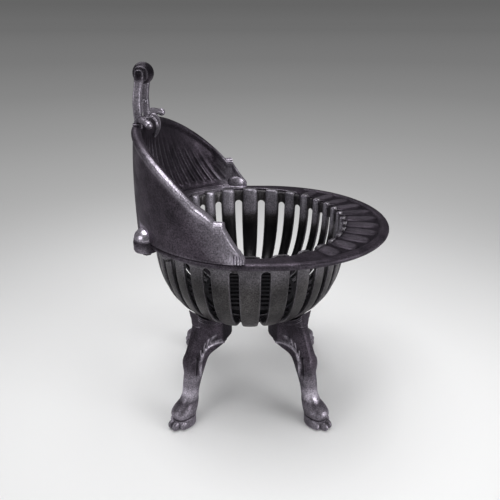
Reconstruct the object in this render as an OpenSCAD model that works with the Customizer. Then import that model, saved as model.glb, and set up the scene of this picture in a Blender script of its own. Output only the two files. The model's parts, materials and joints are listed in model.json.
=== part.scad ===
// Cast-iron fire basket: a slatted round bowl on four lion-paw legs, hung in an
// oval rim, with a curved hood at the back and a carrying handle with a turned grip.
// The front of the basket faces -Y. Every module below is drawn round the bowl's
// own axis and then moved so that the origin lies under the middle of the basket.

/* [Rim] */
// Height of the rim's top face above the hearth
rim_top = 349; // [320:1:380]
// Thickness of the rim plate
rim_t = 11; // [9:0.5:13]
// Width of the rim outside the bowl's wall, at the sides
rim_border = 23; // [22:1:36]
// Reach of the front apron outside the bowl's wall
apron = 70; // [56:1:90]
// Where the front oval starts, in front of the bowl's axis
oval_start = 30; // [10:1:50]
// Gap all round between the rim's opening and the bowl's wall
opening_gap = 1; // [0.5:0.1:2]
// Width of a groove between two gadroons on the front apron
groove_w = 9; // [5:0.5:11]
// Depth of such a groove
groove_d = 2.5; // [1:0.1:4]
// Plain border between a groove's end and the rim's edge
groove_border = 20; // [14:0.5:26]

/* [Bowl] */
// Outer radius of the bowl at its mouth
bowl_r = 165; // [155:1:168]
// Depth of the bowl under the rim plate
bowl_depth = 150; // [130:1:165]
// Radius of the flat part of the bowl's bottom
bowl_flat_r = 60; // [50:1:70]
// How full the bowl's side is, where 2 is an ellipse
bowl_form = 2.5; // [2:0.1:3]
// Thickness of the wall between two ribs, at the mouth
web_t = 5; // [4:0.5:7]
// Depth of a slat with its inner rib
rib_t = 9; // [8:0.5:12]
// Thickness of the bowl's bottom
floor_t = 8; // [6:0.5:10]
// Radius of the ash hole in the bottom
ash_hole_r = 46; // [38:1:48]
// Height of the rib tops above the rim's underside
rib_rise = 8; // [2:0.5:8.5]
// Width of a slot at the front and back, in degrees
slot_deg = 4.3; // [3:0.1:5]
// Depth of the solid band above the slots
slot_band = 12; // [9:0.5:20]
// Inner end of the slots, from the axis
slot_in_r = 88; // [86:0.5:92]
// Width of the flange that carries the rim
flange_w = 7; // [5:0.5:7]
// Thickness of that flange
flange_t = 7; // [5:0.5:9]

/* [Bottom grate] */
// Radius of the loose bottom grate
grate_r = 84; // [80:0.5:85]
// Thickness of the grate
grate_t = 8; // [6:0.5:11]
// Width of its outer ring
grate_ring_w = 8; // [6:0.5:12]
// Width of one fire bar
bar_w = 7; // [5:0.5:9]
// Spacing of the fire bars
bar_pitch = 14.5; // [12:0.5:20]
// Height of the ledge that the grate lies on, above the bowl's bottom
ledge_h = 8; // [7.5:0.5:12]
// Gap under the loose grate
grate_gap = 0.3; // [0.2:0.05:0.5]

/* [Hood] */
// How far the hood's outer foot stands outside the bowl's wall
hood_set = 24.5; // [23:0.5:27]
// Height of the hood's top edge above the rim
hood_rise = 165; // [140:1:190]
// How far the top of the back leans forward
hood_lean = 10; // [0:0.5:12]
// How much wider the hood's circle is at its top than at its foot
hood_spread = 11; // [4:0.5:14]
// How far the wings swell out at the flare height
wing_swell = 5.5; // [0:0.5:9]
// How far the wings' ends lean in at that height
wing_tuck = 18; // [10:1:21]
// Thickness of the hood's wall
hood_t = 10; // [8:0.5:12]
// Thickness of its top edge
edge_t = 15; // [13:0.5:18]
// Number of flutes inside the hood
flute_n = 28; // [20:2:32]
// Depth of a flute
flute_d = 3; // [1:0.5:4]
// Height of the square step at each wing's end
step_h = 59; // [50:1:64]
// Radius of the two domes at the back
dome_r = 19; // [15:0.5:21]
// How far a dome's middle stands outside the hood's foot, less than nought where it stands in the wall
dome_out = -2; // [-4:0.5:2]
// Angle of a dome from the back of the basket
dome_angle = 31; // [29:0.5:34]
// Thickness of the rim's lug under a dome
lug_t = 18; // [11:0.5:20]

/* [Handle] */
// Height of the handle's top above the hood's edge
handle_rise = 86; // [78:1:110]
// Distance between the two stiles, middle to middle
stile_span = 64; // [58:1:76]
// Distance between the knobs of the stiles' feet, middle to middle
knob_span = 119; // [104:1:126]
// Width of a stile, side to side
stile_w = 14; // [11:0.5:16]
// Thickness of a stile, front to back
stile_t = 12; // [10:0.5:14]
// Radius of the turned grip at its middle
grip_r = 16; // [13:0.5:18]
// Width of the leaf that droops inside the hood
leaf_w = 30; // [20:1:36]
// Thickness of that leaf
leaf_t = 5; // [4:0.5:7]

/* [Legs] */
// Distance of each foot's middle from the bowl's axis
foot_r = 172; // [160:1:185]
// Distance of each leg's top from the bowl's axis
leg_top_r = 110; // [100:1:115]
// Thickness of the leg at its ankle, from front to back
ankle_d = 29; // [24:0.5:34]
// Width of the leg at its ankle
ankle_w = 28; // [24:0.5:32]
// Thickness of the bracket under the bowl
bracket_t = 24; // [20:0.5:28]
// Inner end of the bracket, from the bowl's axis
bracket_in_r = 52; // [49:0.5:56]
// Height of the bracket's inner block under the bowl
bracket_h = 46; // [38:1:52]
// Radius of one toe
toe_r = 8; // [6:0.5:9]

/* [Fasteners] */
// Radius of the leg bolts and the dome bolts
bolt_r = 4; // [3:0.5:4.5]
// Radius of the small bolts of the rim, the wings and the handle
screw_r = 2.5; // [2:0.25:2.75]
// Gap round a bolt in its clearance hole
hole_gap = 0.4; // [0.2:0.1:0.5]
// Gap round a bolt in its threaded hole
thread_gap = 0.05; // [0.02:0.01:0.1]
// Thickness of the washers
washer_t = 1.6; // [1:0.1:2.5]
// Distance of the leg bolts from the bowl's axis
leg_bolt_r = 66; // [64:0.5:68]
// How far the rim bolts stand outside the bowl's wall
rim_bolt_out = 11; // [10:0.5:13]

/* [Hidden] */
iron = [0.16, 0.155, 0.17];
$fn = 64;

// Heights that follow from the sizes above
rim_under = rim_top - rim_t;
bowl_bottom = rim_under - bowl_depth;
bowl_floor = bowl_bottom + floor_t;
ledge_top = bowl_bottom + floor_t + ledge_h;
grate_z = ledge_top + grate_gap;
hood_top = rim_top + hood_rise;
handle_top = hood_top + handle_rise;
opening_r = bowl_r + opening_gap;
rim_side = bowl_r + rim_border;
rim_front = bowl_r + apron;
rim_bolt_r = bowl_r + rim_bolt_out;
hood_r = bowl_r + hood_set;
dome_dist = hood_r + dome_out;

// The bowl's axis stands behind the origin, so that the origin is under the middle
axis_y = (rim_front - hood_r) / 2;

// Slats, from the front round to the side: closer together at the front and back
slat_angles = [0, 9, 18, 27.5, 37.5, 48.5, 60, 73.5, 90];
function slot_mid(i) = (slat_angles[i] + slat_angles[i + 1]) / 2;
function slot_width(i) = slot_deg + 0.12 * (slat_angles[i + 1] - slat_angles[i] - 9);

// Outline of the bowl in its own plane, as radius and height over the rim's underside
function bowl_point(a, r, depth) = [
    bowl_flat_r + (r - bowl_flat_r) * pow(cos(a), 2 / bowl_form),
    -depth * pow(sin(a), 2 / bowl_form)
];
function bowl_curve(r, depth) = [for (a = [0:6:90]) bowl_point(a, r, depth)];
function reversed(list) = [for (i = [len(list) - 1:-1:0]) list[i]];

// A smooth step from 0 to 1
function ease(x) = let (c = min(max(x, 0), 1)) c * c * (3 - 2 * c);

// Solid skin over a list of rings with equal point counts, open or closed round
module skin(rings, closed = false) {
    n = len(rings);
    m = len(rings[0]);
    last = closed ? n - 1 : n - 2;
    sides = [
        for (i = [0:last], j = [0:m - 1], k = [0, 1])
            let (
                p = i * m + j,
                q = i * m + (j + 1) % m,
                r = ((i + 1) % n) * m + (j + 1) % m,
                s = ((i + 1) % n) * m + j
            )
            k == 0 ? [p, r, q] : [p, s, r]
    ];
    caps = closed ? [] : [
        [for (j = [0:m - 1]) j],
        [for (j = [m - 1:-1:0]) (n - 1) * m + j]
    ];
    polyhedron(points = [for (ring = rings, p = ring) p], faces = concat(sides, caps), convexity = 10);
}

module on_axis() {
    translate([0, axis_y, 0])
        children();
}

// Copies at the four diagonals, numbered 0 to 3 from the front left
diagonals = [-135, -45, 135, 45];
module at_diagonals(dist) {
    for (a = diagonals)
        rotate(a)
            translate([dist, 0, 0])
                children();
}

// Copies on the left and right side
module both_sides() {
    children();
    mirror([1, 0, 0])
        children();
}

module hex_bolt(r, head_r, head_t, length) {
    cylinder(h = length, r = r);
    translate([0, 0, -head_t])
        cylinder(h = head_t, r = head_r, $fn = 6);
}

module washer(hole, outer) {
    difference() {
        cylinder(h = washer_t, r = outer);
        translate([0, 0, -1])
            cylinder(h = washer_t + 2, r = hole);
    }
}

// Heads of the bolts and screws, and their washers
bolt_head_r = bolt_r * 1.8;
bolt_head_t = 5.4;
bolt_washer_r = bolt_head_r + 1.3;
screw_head_r = screw_r * 1.9;
screw_head_t = 4;
screw_washer_r = screw_head_r + 1;

// The bowl: wall, bottom, ledge for the grate, and a flange with four ears for the rim
ear_r = 9;
ledge_in = 10;
ledge_w = 8;
spot_gap = 0.7;
module bowl_section() {
    outer = bowl_curve(bowl_r, bowl_depth);
    inner = bowl_curve(bowl_r - rib_t, bowl_depth - floor_t);
    polygon(concat(
        [[bowl_r - rib_t, rib_rise], [bowl_r, rib_rise], [bowl_r, 0]],
        [[bowl_r + flange_w, 0], [bowl_r + flange_w, -flange_t], [bowl_r, -flange_t]],
        [for (p = outer) if (p[1] < -flange_t) p],
        [[ash_hole_r, -bowl_depth], [ash_hole_r, floor_t - bowl_depth]],
        reversed(inner)
    ));
}

module slot_cutter(width) {
    rotate(-width / 2)
        rotate_extrude(angle = width)
            polygon([
                [slot_in_r, -bowl_depth - 1], [bowl_r + 1, -bowl_depth - 1], [bowl_r + 1, -slot_band],
                [bowl_r - web_t, -slot_band], [bowl_r - web_t, rib_rise + 1],
                [slot_in_r, rib_rise + 1]
            ]);
}

module bowl() {
    color(iron)
        on_axis()
            translate([0, 0, rim_under])
                difference() {
                    union() {
                        rotate_extrude($fn = 96)
                            bowl_section();
                        at_diagonals(rim_bolt_r)
                            translate([0, 0, -flange_t])
                                cylinder(h = flange_t, r = ear_r);
                        translate([0, 0, floor_t - bowl_depth])
                            rotate_extrude()
                                translate([slot_in_r - ledge_in, -1])
                                    square([ledge_w, ledge_h + 1]);
                    }
                    for (i = [0:len(slat_angles) - 2], side = [-1, 1], half = [0, 180])
                        rotate(half - 90 + side * slot_mid(i))
                            slot_cutter(slot_width(i));
                    at_diagonals(leg_bolt_r)
                        translate([0, 0, -bowl_depth - 1])
                            cylinder(h = floor_t + 2, r = bolt_r + hole_gap);
                    at_diagonals(leg_bolt_r)
                        translate([0, 0, floor_t - bowl_depth])
                            cylinder(h = ledge_h, r = bolt_washer_r + spot_gap);
                    at_diagonals(rim_bolt_r)
                        translate([0, 0, -flange_t - 1])
                            cylinder(h = flange_t + 2, r = screw_r + hole_gap);
                }
}

// The loose grate: a ring with straight fire bars that run from front to back
module bottom_grate() {
    bars = floor((grate_r - grate_ring_w) / bar_pitch);
    color(iron)
        on_axis()
            translate([0, 0, grate_z]) {
                difference() {
                    cylinder(h = grate_t, r = grate_r);
                    translate([0, 0, -1])
                        cylinder(h = grate_t + 2, r = grate_r - grate_ring_w);
                }
                intersection() {
                    cylinder(h = grate_t, r = grate_r - grate_ring_w / 2);
                    for (k = [-bars:bars])
                        translate([k * bar_pitch - bar_w / 2, -grate_r, 0])
                            cube([bar_w, 2 * grate_r, grate_t]);
                }
            }
}

// The rim: a plate with a rounded edge, grooved in front and lugged at the back
edge_inset = 9;
edge_drop = 6;
under_inset = 5;
groove_start = 3;
rim_plan = concat(
    [for (a = [0:5:180]) [a, 0]],
    [for (a = [180:5:355]) [a, -oval_start]],
    [[360, -oval_start]]
);
function rim_point(plan, inset) = [
    (rim_side - inset) * cos(plan[0]),
    plan[1] + ((plan[1] == 0 ? rim_side : rim_front - oval_start) - inset) * sin(plan[0])
];
edge_profile = concat(
    [[edge_inset + 3, 0]],
    [for (b = [0:22.5:90]) [edge_inset * (1 - sin(b)), edge_drop * (cos(b) - 1)]],
    [for (b = [22.5:22.5:90]) [under_inset * (1 - cos(b)), -edge_drop - (rim_t - edge_drop) * sin(b)]],
    [[edge_inset + 3, -rim_t]]
);
rim_rings = [
    for (plan = rim_plan)
        [for (p = edge_profile) concat(rim_point(plan, p[0]), [rim_top + p[1]])]
];

// Distance from the bowl's axis to the rim's edge, at an angle from the front
function front_reach(a) =
    let (
        reach = rim_front - oval_start,
        p = pow(sin(a) / rim_side, 2) + pow(cos(a) / reach, 2),
        q = oval_start * cos(a) / pow(reach, 2)
    )
    (q + sqrt(q * q + p * (1 - pow(oval_start / reach, 2)))) / p;

module groove(a) {
    r = (pow(groove_w / 2, 2) + pow(groove_d, 2)) / (2 * groove_d);
    start = opening_r + groove_start;
    length = front_reach(a) - groove_border - start;
    rotate(a - 90)
        translate([start, 0, rim_top - groove_d + r]) {
            rotate([0, 90, 0])
                cylinder(h = length, r = r);
            sphere(r = r);
            translate([length, 0, 0])
                sphere(r = r);
        }
}

module at_domes() {
    for (side = [-1, 1])
        rotate(90 - side * dome_angle)
            translate([dome_dist, 0, 0])
                children();
}

module at_wing_screws() {
    for (side = [-1, 1])
        rotate(90 - side * wing_screw_a)
            translate([hood_r - wing_screw_in, 0, 0])
                children();
}

rim_thread = 7;
lug_gap = 0.5;
module rim() {
    color(iron)
        on_axis()
            difference() {
                union() {
                    translate([0, 0, rim_under])
                        linear_extrude(rim_t)
                            polygon([for (plan = rim_plan) rim_point(plan, edge_inset)]);
                    skin(rim_rings, closed = true);
                    translate([0, 0, rim_top - lug_t])
                        at_domes()
                            cylinder(h = lug_t, r = dome_r + 1);
                }
                translate([0, 0, rim_under - 1])
                    cylinder(h = rim_t + 2, r = opening_r);
                translate([0, 0, rim_top - lug_t - 1])
                    cylinder(h = lug_t - rim_t + 1, r = bowl_r + flange_w + lug_gap);
                for (i = [0:5], side = [-1, 1])
                    groove(side * slot_mid(i));
                at_domes()
                    translate([0, 0, rim_top - lug_t - 1])
                        cylinder(h = lug_t + 2, r = bolt_r + hole_gap);
                at_wing_screws()
                    translate([0, 0, rim_under - 1])
                        cylinder(h = rim_t + 2, r = screw_r + hole_gap);
                at_diagonals(rim_bolt_r)
                    translate([0, 0, rim_under - 1])
                        cylinder(h = rim_thread + 1, r = screw_r + thread_gap);
            }
}

// The hood: angles are counted from the back of the basket, heights from the rim
crest_drop = 2;
fall = 2.7;
hood_span = 87.5;
wrist_span = 4.2;
wing_tip = hood_span + 0.5;
wing_screw_a = wing_tip - 5;
wing_screw_in = 11;
toe_end_h = 8;
toe_drop = 46;
foot_ledge_gap = 3;
flare_height = 100;
band_h = 20;
foot_ledge_h = 8;
crest_h = hood_rise - crest_drop;
wing_end = hood_span * pow(1 - step_h / crest_h, 1 / fall);
toe_start = wing_end + wrist_span;
function hood_height(a) = crest_h * (1 - pow(abs(a) / hood_span, fall));
function toe_height(a) =
    toe_end_h + toe_drop * pow(max(0, 1 - (a - toe_start) / (wing_tip - toe_start)), 1.15);

// Share of the lean at a wing's end: nought until the tuck starts, one from the wrist on
tuck_over = 9;
function tuck(a) =
    let (f = max(0, min(1, (abs(a) - wing_end) / tuck_over + 1)))
    f * f * (3 - 2 * f);
function hood_radius(a, t) =
    let (
        grow = hood_spread * t / hood_rise,
        shift = grow + hood_lean * pow(t / hood_rise, 2.5)
    )
    sqrt(pow(hood_r + grow, 2) - pow(shift * sin(a), 2)) - shift * cos(a)
        + t / flare_height * (wing_swell * pow(sin(1.6 * a), 2) - wing_tuck * tuck(a));

// Section of the hood as depth behind its outer face and height, from the outer foot round to the inner
// foot: a wall with a thick rounded band at its top and a filleted ledge at its inner foot. Both shrink
// together where the hood is lower than the two of them.
function hood_section(top, flute) =
    let (
        k = min(1, top / (1.2 * band_h + 2.5 * foot_ledge_h)),
        band = band_h * k,
        foot = foot_ledge_h * k,
        out = (edge_t - hood_t) / 2,
        crown = edge_t / 4,
        ledge = hood_r - opening_r - foot_ledge_gap,
        web = top - 0.9 * band - 2.5 * foot
    )
    concat(
        [for (f = [0:0.25:1]) [0, f * (top - band)]],
        [[-out, top - 0.6 * band], [-out, top - 0.25 * band], [crown / 4 - out, top - 0.1 * band]],
        [[crown - out, top], [hood_t + out - crown, top]],
        [[hood_t + out - crown / 4, top - 0.1 * band], [hood_t + out, top - 0.25 * band]],
        [[hood_t + out, top - 0.55 * band]],
        [for (f = [1:-0.25:0]) [hood_t - flute * min(1, 8 * f * (1 - f)), 2.5 * foot + f * web]],
        [[1.1 * hood_t, 1.9 * foot], [ledge - foot / 2, 1.5 * foot], [ledge, foot], [ledge, 0]]
    );
function hood_ring(a, top, flute) = [
    for (p = hood_section(top, flute))
        let (r = hood_radius(a, p[1]) - p[0])
        [r * sin(a), r * cos(a), rim_top + p[1]]
];
flute_steps = 4 * flute_n;
wing_stations = concat(
    [[wing_end + 0.2, step_h], [toe_start, step_h], [toe_start + 0.3, toe_height(toe_start + 0.3)]],
    [
        for (f = [0.12, 0.25, 0.4, 0.55, 0.7, 0.85, 1])
            let (a = toe_start + f * (wing_tip - toe_start))
            [a, toe_height(a)]
    ]
);
hood_rings = concat(
    [for (s = reversed(wing_stations)) hood_ring(-s[0], s[1], 0)],
    [
        for (i = [0:flute_steps])
            let (a = wing_end * (2 * i / flute_steps - 1))
            hood_ring(a, hood_height(a), flute_d * pow(sin(180 * flute_n * i / flute_steps), 2))
    ],
    [for (s = wing_stations) hood_ring(s[0], s[1], 0)]
);

// Middle of the hood's top edge at a distance from the basket's centre plane
function edge_y(x) =
    let (r = hood_radius(0, crest_h) - hood_t / 2)
    sqrt(r * r - x * x);

pad_t = 8;
stud_back = 3;
dome_thread = 13;
wing_thread = 10;
stud_depth = 14;
crest_depth = 12;
leaf_seat_w = 24;
stud_y = edge_y(stile_span / 2) - stud_back;
module edge_pad(x, width) {
    translate([x - width / 2, edge_y(x) - edge_t / 2, hood_top - pad_t])
        cube([width, edge_t, pad_t]);
}

module hood() {
    color(iron)
        on_axis()
            difference() {
                union() {
                    skin(hood_rings);
                    difference() {
                        at_domes()
                            translate([0, 0, rim_top])
                                rotate_extrude()
                                    intersection() {
                                        circle(r = dome_r);
                                        square(dome_r);
                                    }
                        translate([0, 0, rim_top - 1])
                            cylinder(h = dome_r + 2, r = hood_r - hood_t / 2);
                    }
                    both_sides()
                        edge_pad(stile_span / 2, stile_w);
                    edge_pad(0, leaf_seat_w);
                }
                at_domes()
                    translate([0, 0, rim_top - 1])
                        cylinder(h = dome_thread + 1, r = bolt_r + thread_gap);
                at_wing_screws()
                    translate([0, 0, rim_top - 1])
                        cylinder(h = wing_thread + 1, r = screw_r + thread_gap);
                both_sides()
                    translate([stile_span / 2, stud_y, hood_top - stud_depth])
                        cylinder(h = stud_depth + 1, r = screw_r + thread_gap);
                translate([0, edge_y(0), hood_top - crest_depth])
                    cylinder(h = crest_depth + 1, r = screw_r + thread_gap);
            }
}

// The handle: two stiles that lean forward to a turned grip, and feet that splay out along the hood's edge
// and end in knobs inside it
eye_r = 8;
heel_r = 6.3;
arm_r = 5.6;
knob_r = 6.2;
foot_lift = 0.6;
stile_y = edge_y(stile_span / 2) - 1.8;
grip_y = stile_y - 7;
grip_z = handle_top - grip_r;
heel = [stile_span / 2, stile_y - 2, hood_top + heel_r + foot_lift / 2];
elbow = [(stile_span + knob_span) / 4, stile_y - 9, hood_top + arm_r + foot_lift];
knob = [knob_span / 2, edge_y(knob_span / 2) - edge_t / 2 - knob_r - 1, hood_top + 2];
module stile_outline() {
    back = stile_y + stile_t / 2;
    front = stile_y - stile_t / 2;
    lean = grip_y - stile_y;
    polygon([
        [stud_y + screw_r + 2, hood_top], [back - 1.2, hood_top + 6], [back - 0.4, hood_top + 14],
        [back, hood_top + 26], [back + 0.04 * lean, hood_top + 34],
        [back + 0.45 * lean, grip_z - 1.2 * eye_r], [grip_y + 0.9 * eye_r, grip_z],
        [grip_y - 0.9 * eye_r, grip_z], [front + 0.65 * lean, grip_z - 1.4 * eye_r],
        [front + 0.1 * lean, hood_top + 34], [front, hood_top + 22], [front - 1, hood_top + 12],
        [heel[1] - heel_r / 2, hood_top + heel_r + 4], [heel[1] - heel_r / 2, hood_top]
    ]);
    translate([grip_y, grip_z])
        circle(r = eye_r);
}

// A bar with round ends from one point to another
module round_bar(from, to, r1, r2) {
    hull() {
        translate(from)
            sphere(r = r1, $fn = 24);
        translate(to)
            sphere(r = r2, $fn = 24);
    }
}

// Half of the turned grip's outline, as shares of its radius and of the distance to a stile's middle
grip_turning = [
    [0.46, 1], [0.46, 0.8], [0.66, 0.77], [0.73, 0.7], [0.68, 0.63], [0.62, 0.6], [0.74, 0.5], [0.88, 0.34],
    [0.97, 0.17], [1, 0]
];
module grip() {
    translate([0, grip_y, grip_z])
        rotate([0, 90, 0])
            rotate_extrude()
                polygon(concat(
                    [[0, -stile_span / 2]],
                    [for (q = grip_turning) [q[0] * grip_r, -q[1] * stile_span / 2]],
                    [for (q = reversed(grip_turning)) if (q[1] > 0) [q[0] * grip_r, q[1] * stile_span / 2]],
                    [[0, stile_span / 2]]
                ));
}

module across(width) {
    rotate([90, 0, 90])
        translate([0, 0, -width / 2])
            linear_extrude(width)
                children();
}

module handle() {
    color(iron)
        on_axis()
            difference() {
                union() {
                    for (side = [-1, 1])
                        translate([side * stile_span / 2, 0, 0])
                            across(stile_w)
                                stile_outline();
                    grip();
                    both_sides() {
                        round_bar(heel, elbow, heel_r, arm_r);
                        round_bar(elbow, knob, arm_r, knob_r);
                    }
                }
                both_sides()
                    translate([stile_span / 2, stud_y, hood_top - 1])
                        cylinder(h = stud_depth + 1, r = screw_r + thread_gap);
            }
}

// The leaf: a tab on the hood's edge and a blade that hangs inside the hood
tab_in = edge_t / 2 + 1;
leaf_path = [
    [edge_y(0) + 6, leaf_t / 2, 0.7], [edge_y(0) - tab_in + 1, leaf_t / 2, 0.75],
    [edge_y(0) - 17, 6.5, 0.9], [edge_y(0) - 25, 5, 1], [edge_y(0) - 29.5, -3, 1],
    [edge_y(0) - 29, -12, 0.85], [edge_y(0) - 25, -20, 0.6], [edge_y(0) - 20, -27, 0.2]
];
function leaf_ring(i) =
    let (
        a = leaf_path[max(i - 1, 0)],
        b = leaf_path[min(i + 1, len(leaf_path) - 1)],
        p = leaf_path[i],
        along = i < 2 ? [-1, 0] : [b[0] - a[0], b[1] - a[1]] / norm([b[0] - a[0], b[1] - a[1]]),
        up = [along[1], -along[0]],
        w = leaf_w * p[2] / 2
    )
    [
        for (q = [[-1, -0.5], [1, -0.5], [1, 0], [0.5, 0.3], [0, 0.5], [-0.5, 0.3], [-1, 0]])
            [q[0] * w, p[0] + up[0] * q[1] * leaf_t, hood_top + p[1] + up[1] * q[1] * leaf_t]
    ];
module crest_leaf() {
    color(iron)
        on_axis()
            difference() {
                skin([for (i = [0:len(leaf_path) - 1]) leaf_ring(i)]);
                translate([0, edge_y(0), hood_top - 1])
                    cylinder(h = leaf_t + 2, r = screw_r + hole_gap);
            }
}

// One leg, drawn along +X: a shank that widens to a bracket above and a paw below
ankle_z = 56;
shank_rows = [
    [0, foot_r - 6, 20, 18.5], [5, foot_r - 6, 21, 19.5], [16, foot_r - 6, 21, 19.5],
    [30, foot_r - 8, 25, 18], [42, foot_r - 15.5, 21.5, 16],
    [ankle_z, foot_r - 22.5, ankle_d / 2, ankle_w / 2], [68, foot_r - 25, ankle_d / 2, ankle_w / 2],
    [82, foot_r - 28.5, ankle_d / 2 + 1.8, ankle_w / 2], [102, foot_r - 34.5, ankle_d / 2 + 5, ankle_w / 2],
    [bowl_bottom - 69, leg_top_r + 26, ankle_d / 2 + 6, ankle_w / 2],
    [bowl_bottom - 58, leg_top_r + 17, 27, ankle_w / 2],
    [bowl_bottom - 49, leg_top_r + 10, 30, ankle_w / 2 - 1],
    [bowl_bottom - 22, leg_top_r + 4, 25.5, ankle_w / 2 - 2],
    [bowl_bottom - 2, leg_top_r - 1.5, 24.5, ankle_w / 2 - 2],
    [bowl_bottom + 26, leg_top_r - 2, 25, ankle_w / 2 - 2]
];

// Smooth curve through a list of rows, where u counts the rows
function curve_at(rows, u) =
    let (
        i = min(floor(u), len(rows) - 2),
        f = u - i,
        a = rows[max(i - 1, 0)],
        b = rows[i],
        c = rows[i + 1],
        d = rows[min(i + 2, len(rows) - 1)]
    )
    0.5 * (2 * b + f * (c - a) + f * f * (2 * a - 5 * b + 4 * c - d) + f * f * f * (3 * b - a - 3 * c + d));
shank_rings = [
    for (u = [0:0.5:len(shank_rows) - 1])
        let (row = curve_at(shank_rows, u))
        [for (b = [0:15:345]) [row[1] + row[2] * cos(b), row[3] * sin(b), row[0]]]
];
leg_gap = 0.4;
leg_bite = 24;
bracket_corner = 10;
module bracket_outline() {
    inner_z = bowl_bottom - bracket_h;
    width = leg_top_r - bracket_in_r;
    translate([bracket_in_r, inner_z])
        square([width, bracket_h]);
    translate([bracket_in_r + bracket_corner, inner_z - bracket_corner])
        square([width - bracket_corner, bracket_corner]);
    translate([bracket_in_r + bracket_corner, inner_z])
        circle(r = bracket_corner);
}

toe_y = [-12, -4, 4, 12];
module leg(number) {
    underside = [for (p = bowl_curve(bowl_r, bowl_depth)) if (p[0] > bowl_flat_r + 5) p];
    color(iron)
        on_axis()
            rotate(diagonals[number])
                difference() {
                    union() {
                        skin(shank_rings);
                        rotate([90, 0, 0])
                            translate([0, 0, -bracket_t / 2])
                                linear_extrude(bracket_t)
                                    bracket_outline();
                        for (y = toe_y)
                            translate([foot_r + 18 - y * y / 12, y, toe_r - 1])
                                sphere(r = toe_r);
                    }
                    translate([0, 0, rim_under])
                        rotate_extrude()
                            polygon(concat(
                                [[0, 1], [0, -bowl_depth], [bowl_flat_r, -bowl_depth]],
                                [for (p = reversed(underside)) p + [leg_gap, -leg_gap]],
                                [[bowl_r + leg_gap, 1]]
                            ));
                    translate([foot_r - 40, -40, -10])
                        cube([80, 80, 10]);
                    translate([leg_bolt_r, 0, bowl_bottom - leg_bite - 1])
                        cylinder(h = leg_bite + 2, r = bolt_r + thread_gap);
                }
}
module leg_front_left() {
    leg(0);
}
module leg_front_right() {
    leg(1);
}
module leg_rear_left() {
    leg(2);
}
module leg_rear_right() {
    leg(3);
}

// Bolts, studs and washers
module leg_bolts() {
    color("dimgray")
        on_axis()
            at_diagonals(leg_bolt_r)
                translate([0, 0, bowl_floor + washer_t])
                    rotate([180, 0, 0])
                        hex_bolt(bolt_r, bolt_head_r, bolt_head_t, washer_t + floor_t + leg_bite);
}

module leg_washers() {
    color("gray")
        on_axis()
            at_diagonals(leg_bolt_r)
                translate([0, 0, bowl_floor])
                    washer(bolt_r + hole_gap, bolt_washer_r);
}

module rim_bolts() {
    color("dimgray")
        on_axis()
            at_diagonals(rim_bolt_r)
                translate([0, 0, rim_under - flange_t - washer_t])
                    hex_bolt(screw_r, screw_head_r, screw_head_t, washer_t + flange_t + rim_thread - 1);
}

module rim_washers() {
    color("gray")
        on_axis()
            at_diagonals(rim_bolt_r)
                translate([0, 0, rim_under - flange_t - washer_t])
                    washer(screw_r + hole_gap, screw_washer_r);
}

module dome_bolts() {
    color("dimgray")
        on_axis()
            at_domes()
                translate([0, 0, rim_top - lug_t - washer_t])
                    hex_bolt(bolt_r, bolt_head_r, bolt_head_t, washer_t + lug_t + dome_thread - 1);
}

module dome_washers() {
    color("gray")
        on_axis()
            at_domes()
                translate([0, 0, rim_top - lug_t - washer_t])
                    washer(bolt_r + hole_gap, bolt_washer_r);
}

module wing_screws() {
    color("dimgray")
        on_axis()
            at_wing_screws()
                translate([0, 0, rim_under - washer_t])
                    hex_bolt(screw_r, screw_head_r, screw_head_t, washer_t + rim_t + wing_thread - 1);
}

module wing_washers() {
    color("gray")
        on_axis()
            at_wing_screws()
                translate([0, 0, rim_under - washer_t])
                    washer(screw_r + hole_gap, screw_washer_r);
}

module handle_studs() {
    color("dimgray")
        on_axis()
            both_sides()
                translate([stile_span / 2, stud_y, hood_top - stud_depth + 1])
                    cylinder(h = 2 * stud_depth - 2, r = screw_r);
}

module crest_screw() {
    color("dimgray")
        on_axis()
            translate([0, edge_y(0), hood_top + leaf_t])
                rotate([180, 0, 0])
                    hex_bolt(screw_r, screw_head_r, screw_head_t, leaf_t + crest_depth - 1);
}

bowl();
bottom_grate();
rim();
hood();
handle();
crest_leaf();
leg_front_left();
leg_front_right();
leg_rear_left();
leg_rear_right();
leg_bolts();
leg_washers();
rim_bolts();
rim_washers();
dome_bolts();
dome_washers();
wing_screws();
wing_washers();
handle_studs();
crest_screw();
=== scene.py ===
import bpy
import json
import math
import numpy as np
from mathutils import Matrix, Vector


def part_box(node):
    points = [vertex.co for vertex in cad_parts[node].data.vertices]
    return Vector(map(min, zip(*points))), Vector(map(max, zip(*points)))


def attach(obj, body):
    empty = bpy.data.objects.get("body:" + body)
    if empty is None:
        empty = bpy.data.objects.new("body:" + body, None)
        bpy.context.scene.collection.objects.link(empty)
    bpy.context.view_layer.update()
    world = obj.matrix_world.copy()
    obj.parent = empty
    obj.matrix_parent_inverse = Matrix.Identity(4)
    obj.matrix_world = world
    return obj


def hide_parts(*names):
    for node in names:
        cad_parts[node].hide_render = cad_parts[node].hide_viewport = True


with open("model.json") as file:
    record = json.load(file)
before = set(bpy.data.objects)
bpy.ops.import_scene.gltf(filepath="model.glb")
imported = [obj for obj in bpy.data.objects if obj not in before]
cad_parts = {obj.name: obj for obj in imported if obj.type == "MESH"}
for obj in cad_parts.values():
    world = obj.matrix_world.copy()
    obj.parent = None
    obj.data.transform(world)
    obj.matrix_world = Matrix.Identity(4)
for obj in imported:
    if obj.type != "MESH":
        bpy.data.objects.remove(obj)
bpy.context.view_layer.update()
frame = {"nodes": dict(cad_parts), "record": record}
print("frame loaded:", len(frame["nodes"]), "nodes")


# Sizes taken from the frame, in millimetres round the bowl's own upright axis
def millimetres(nodeName):
    low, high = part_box(nodeName)
    return np.array(low) * 1000, np.array(high) * 1000


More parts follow.
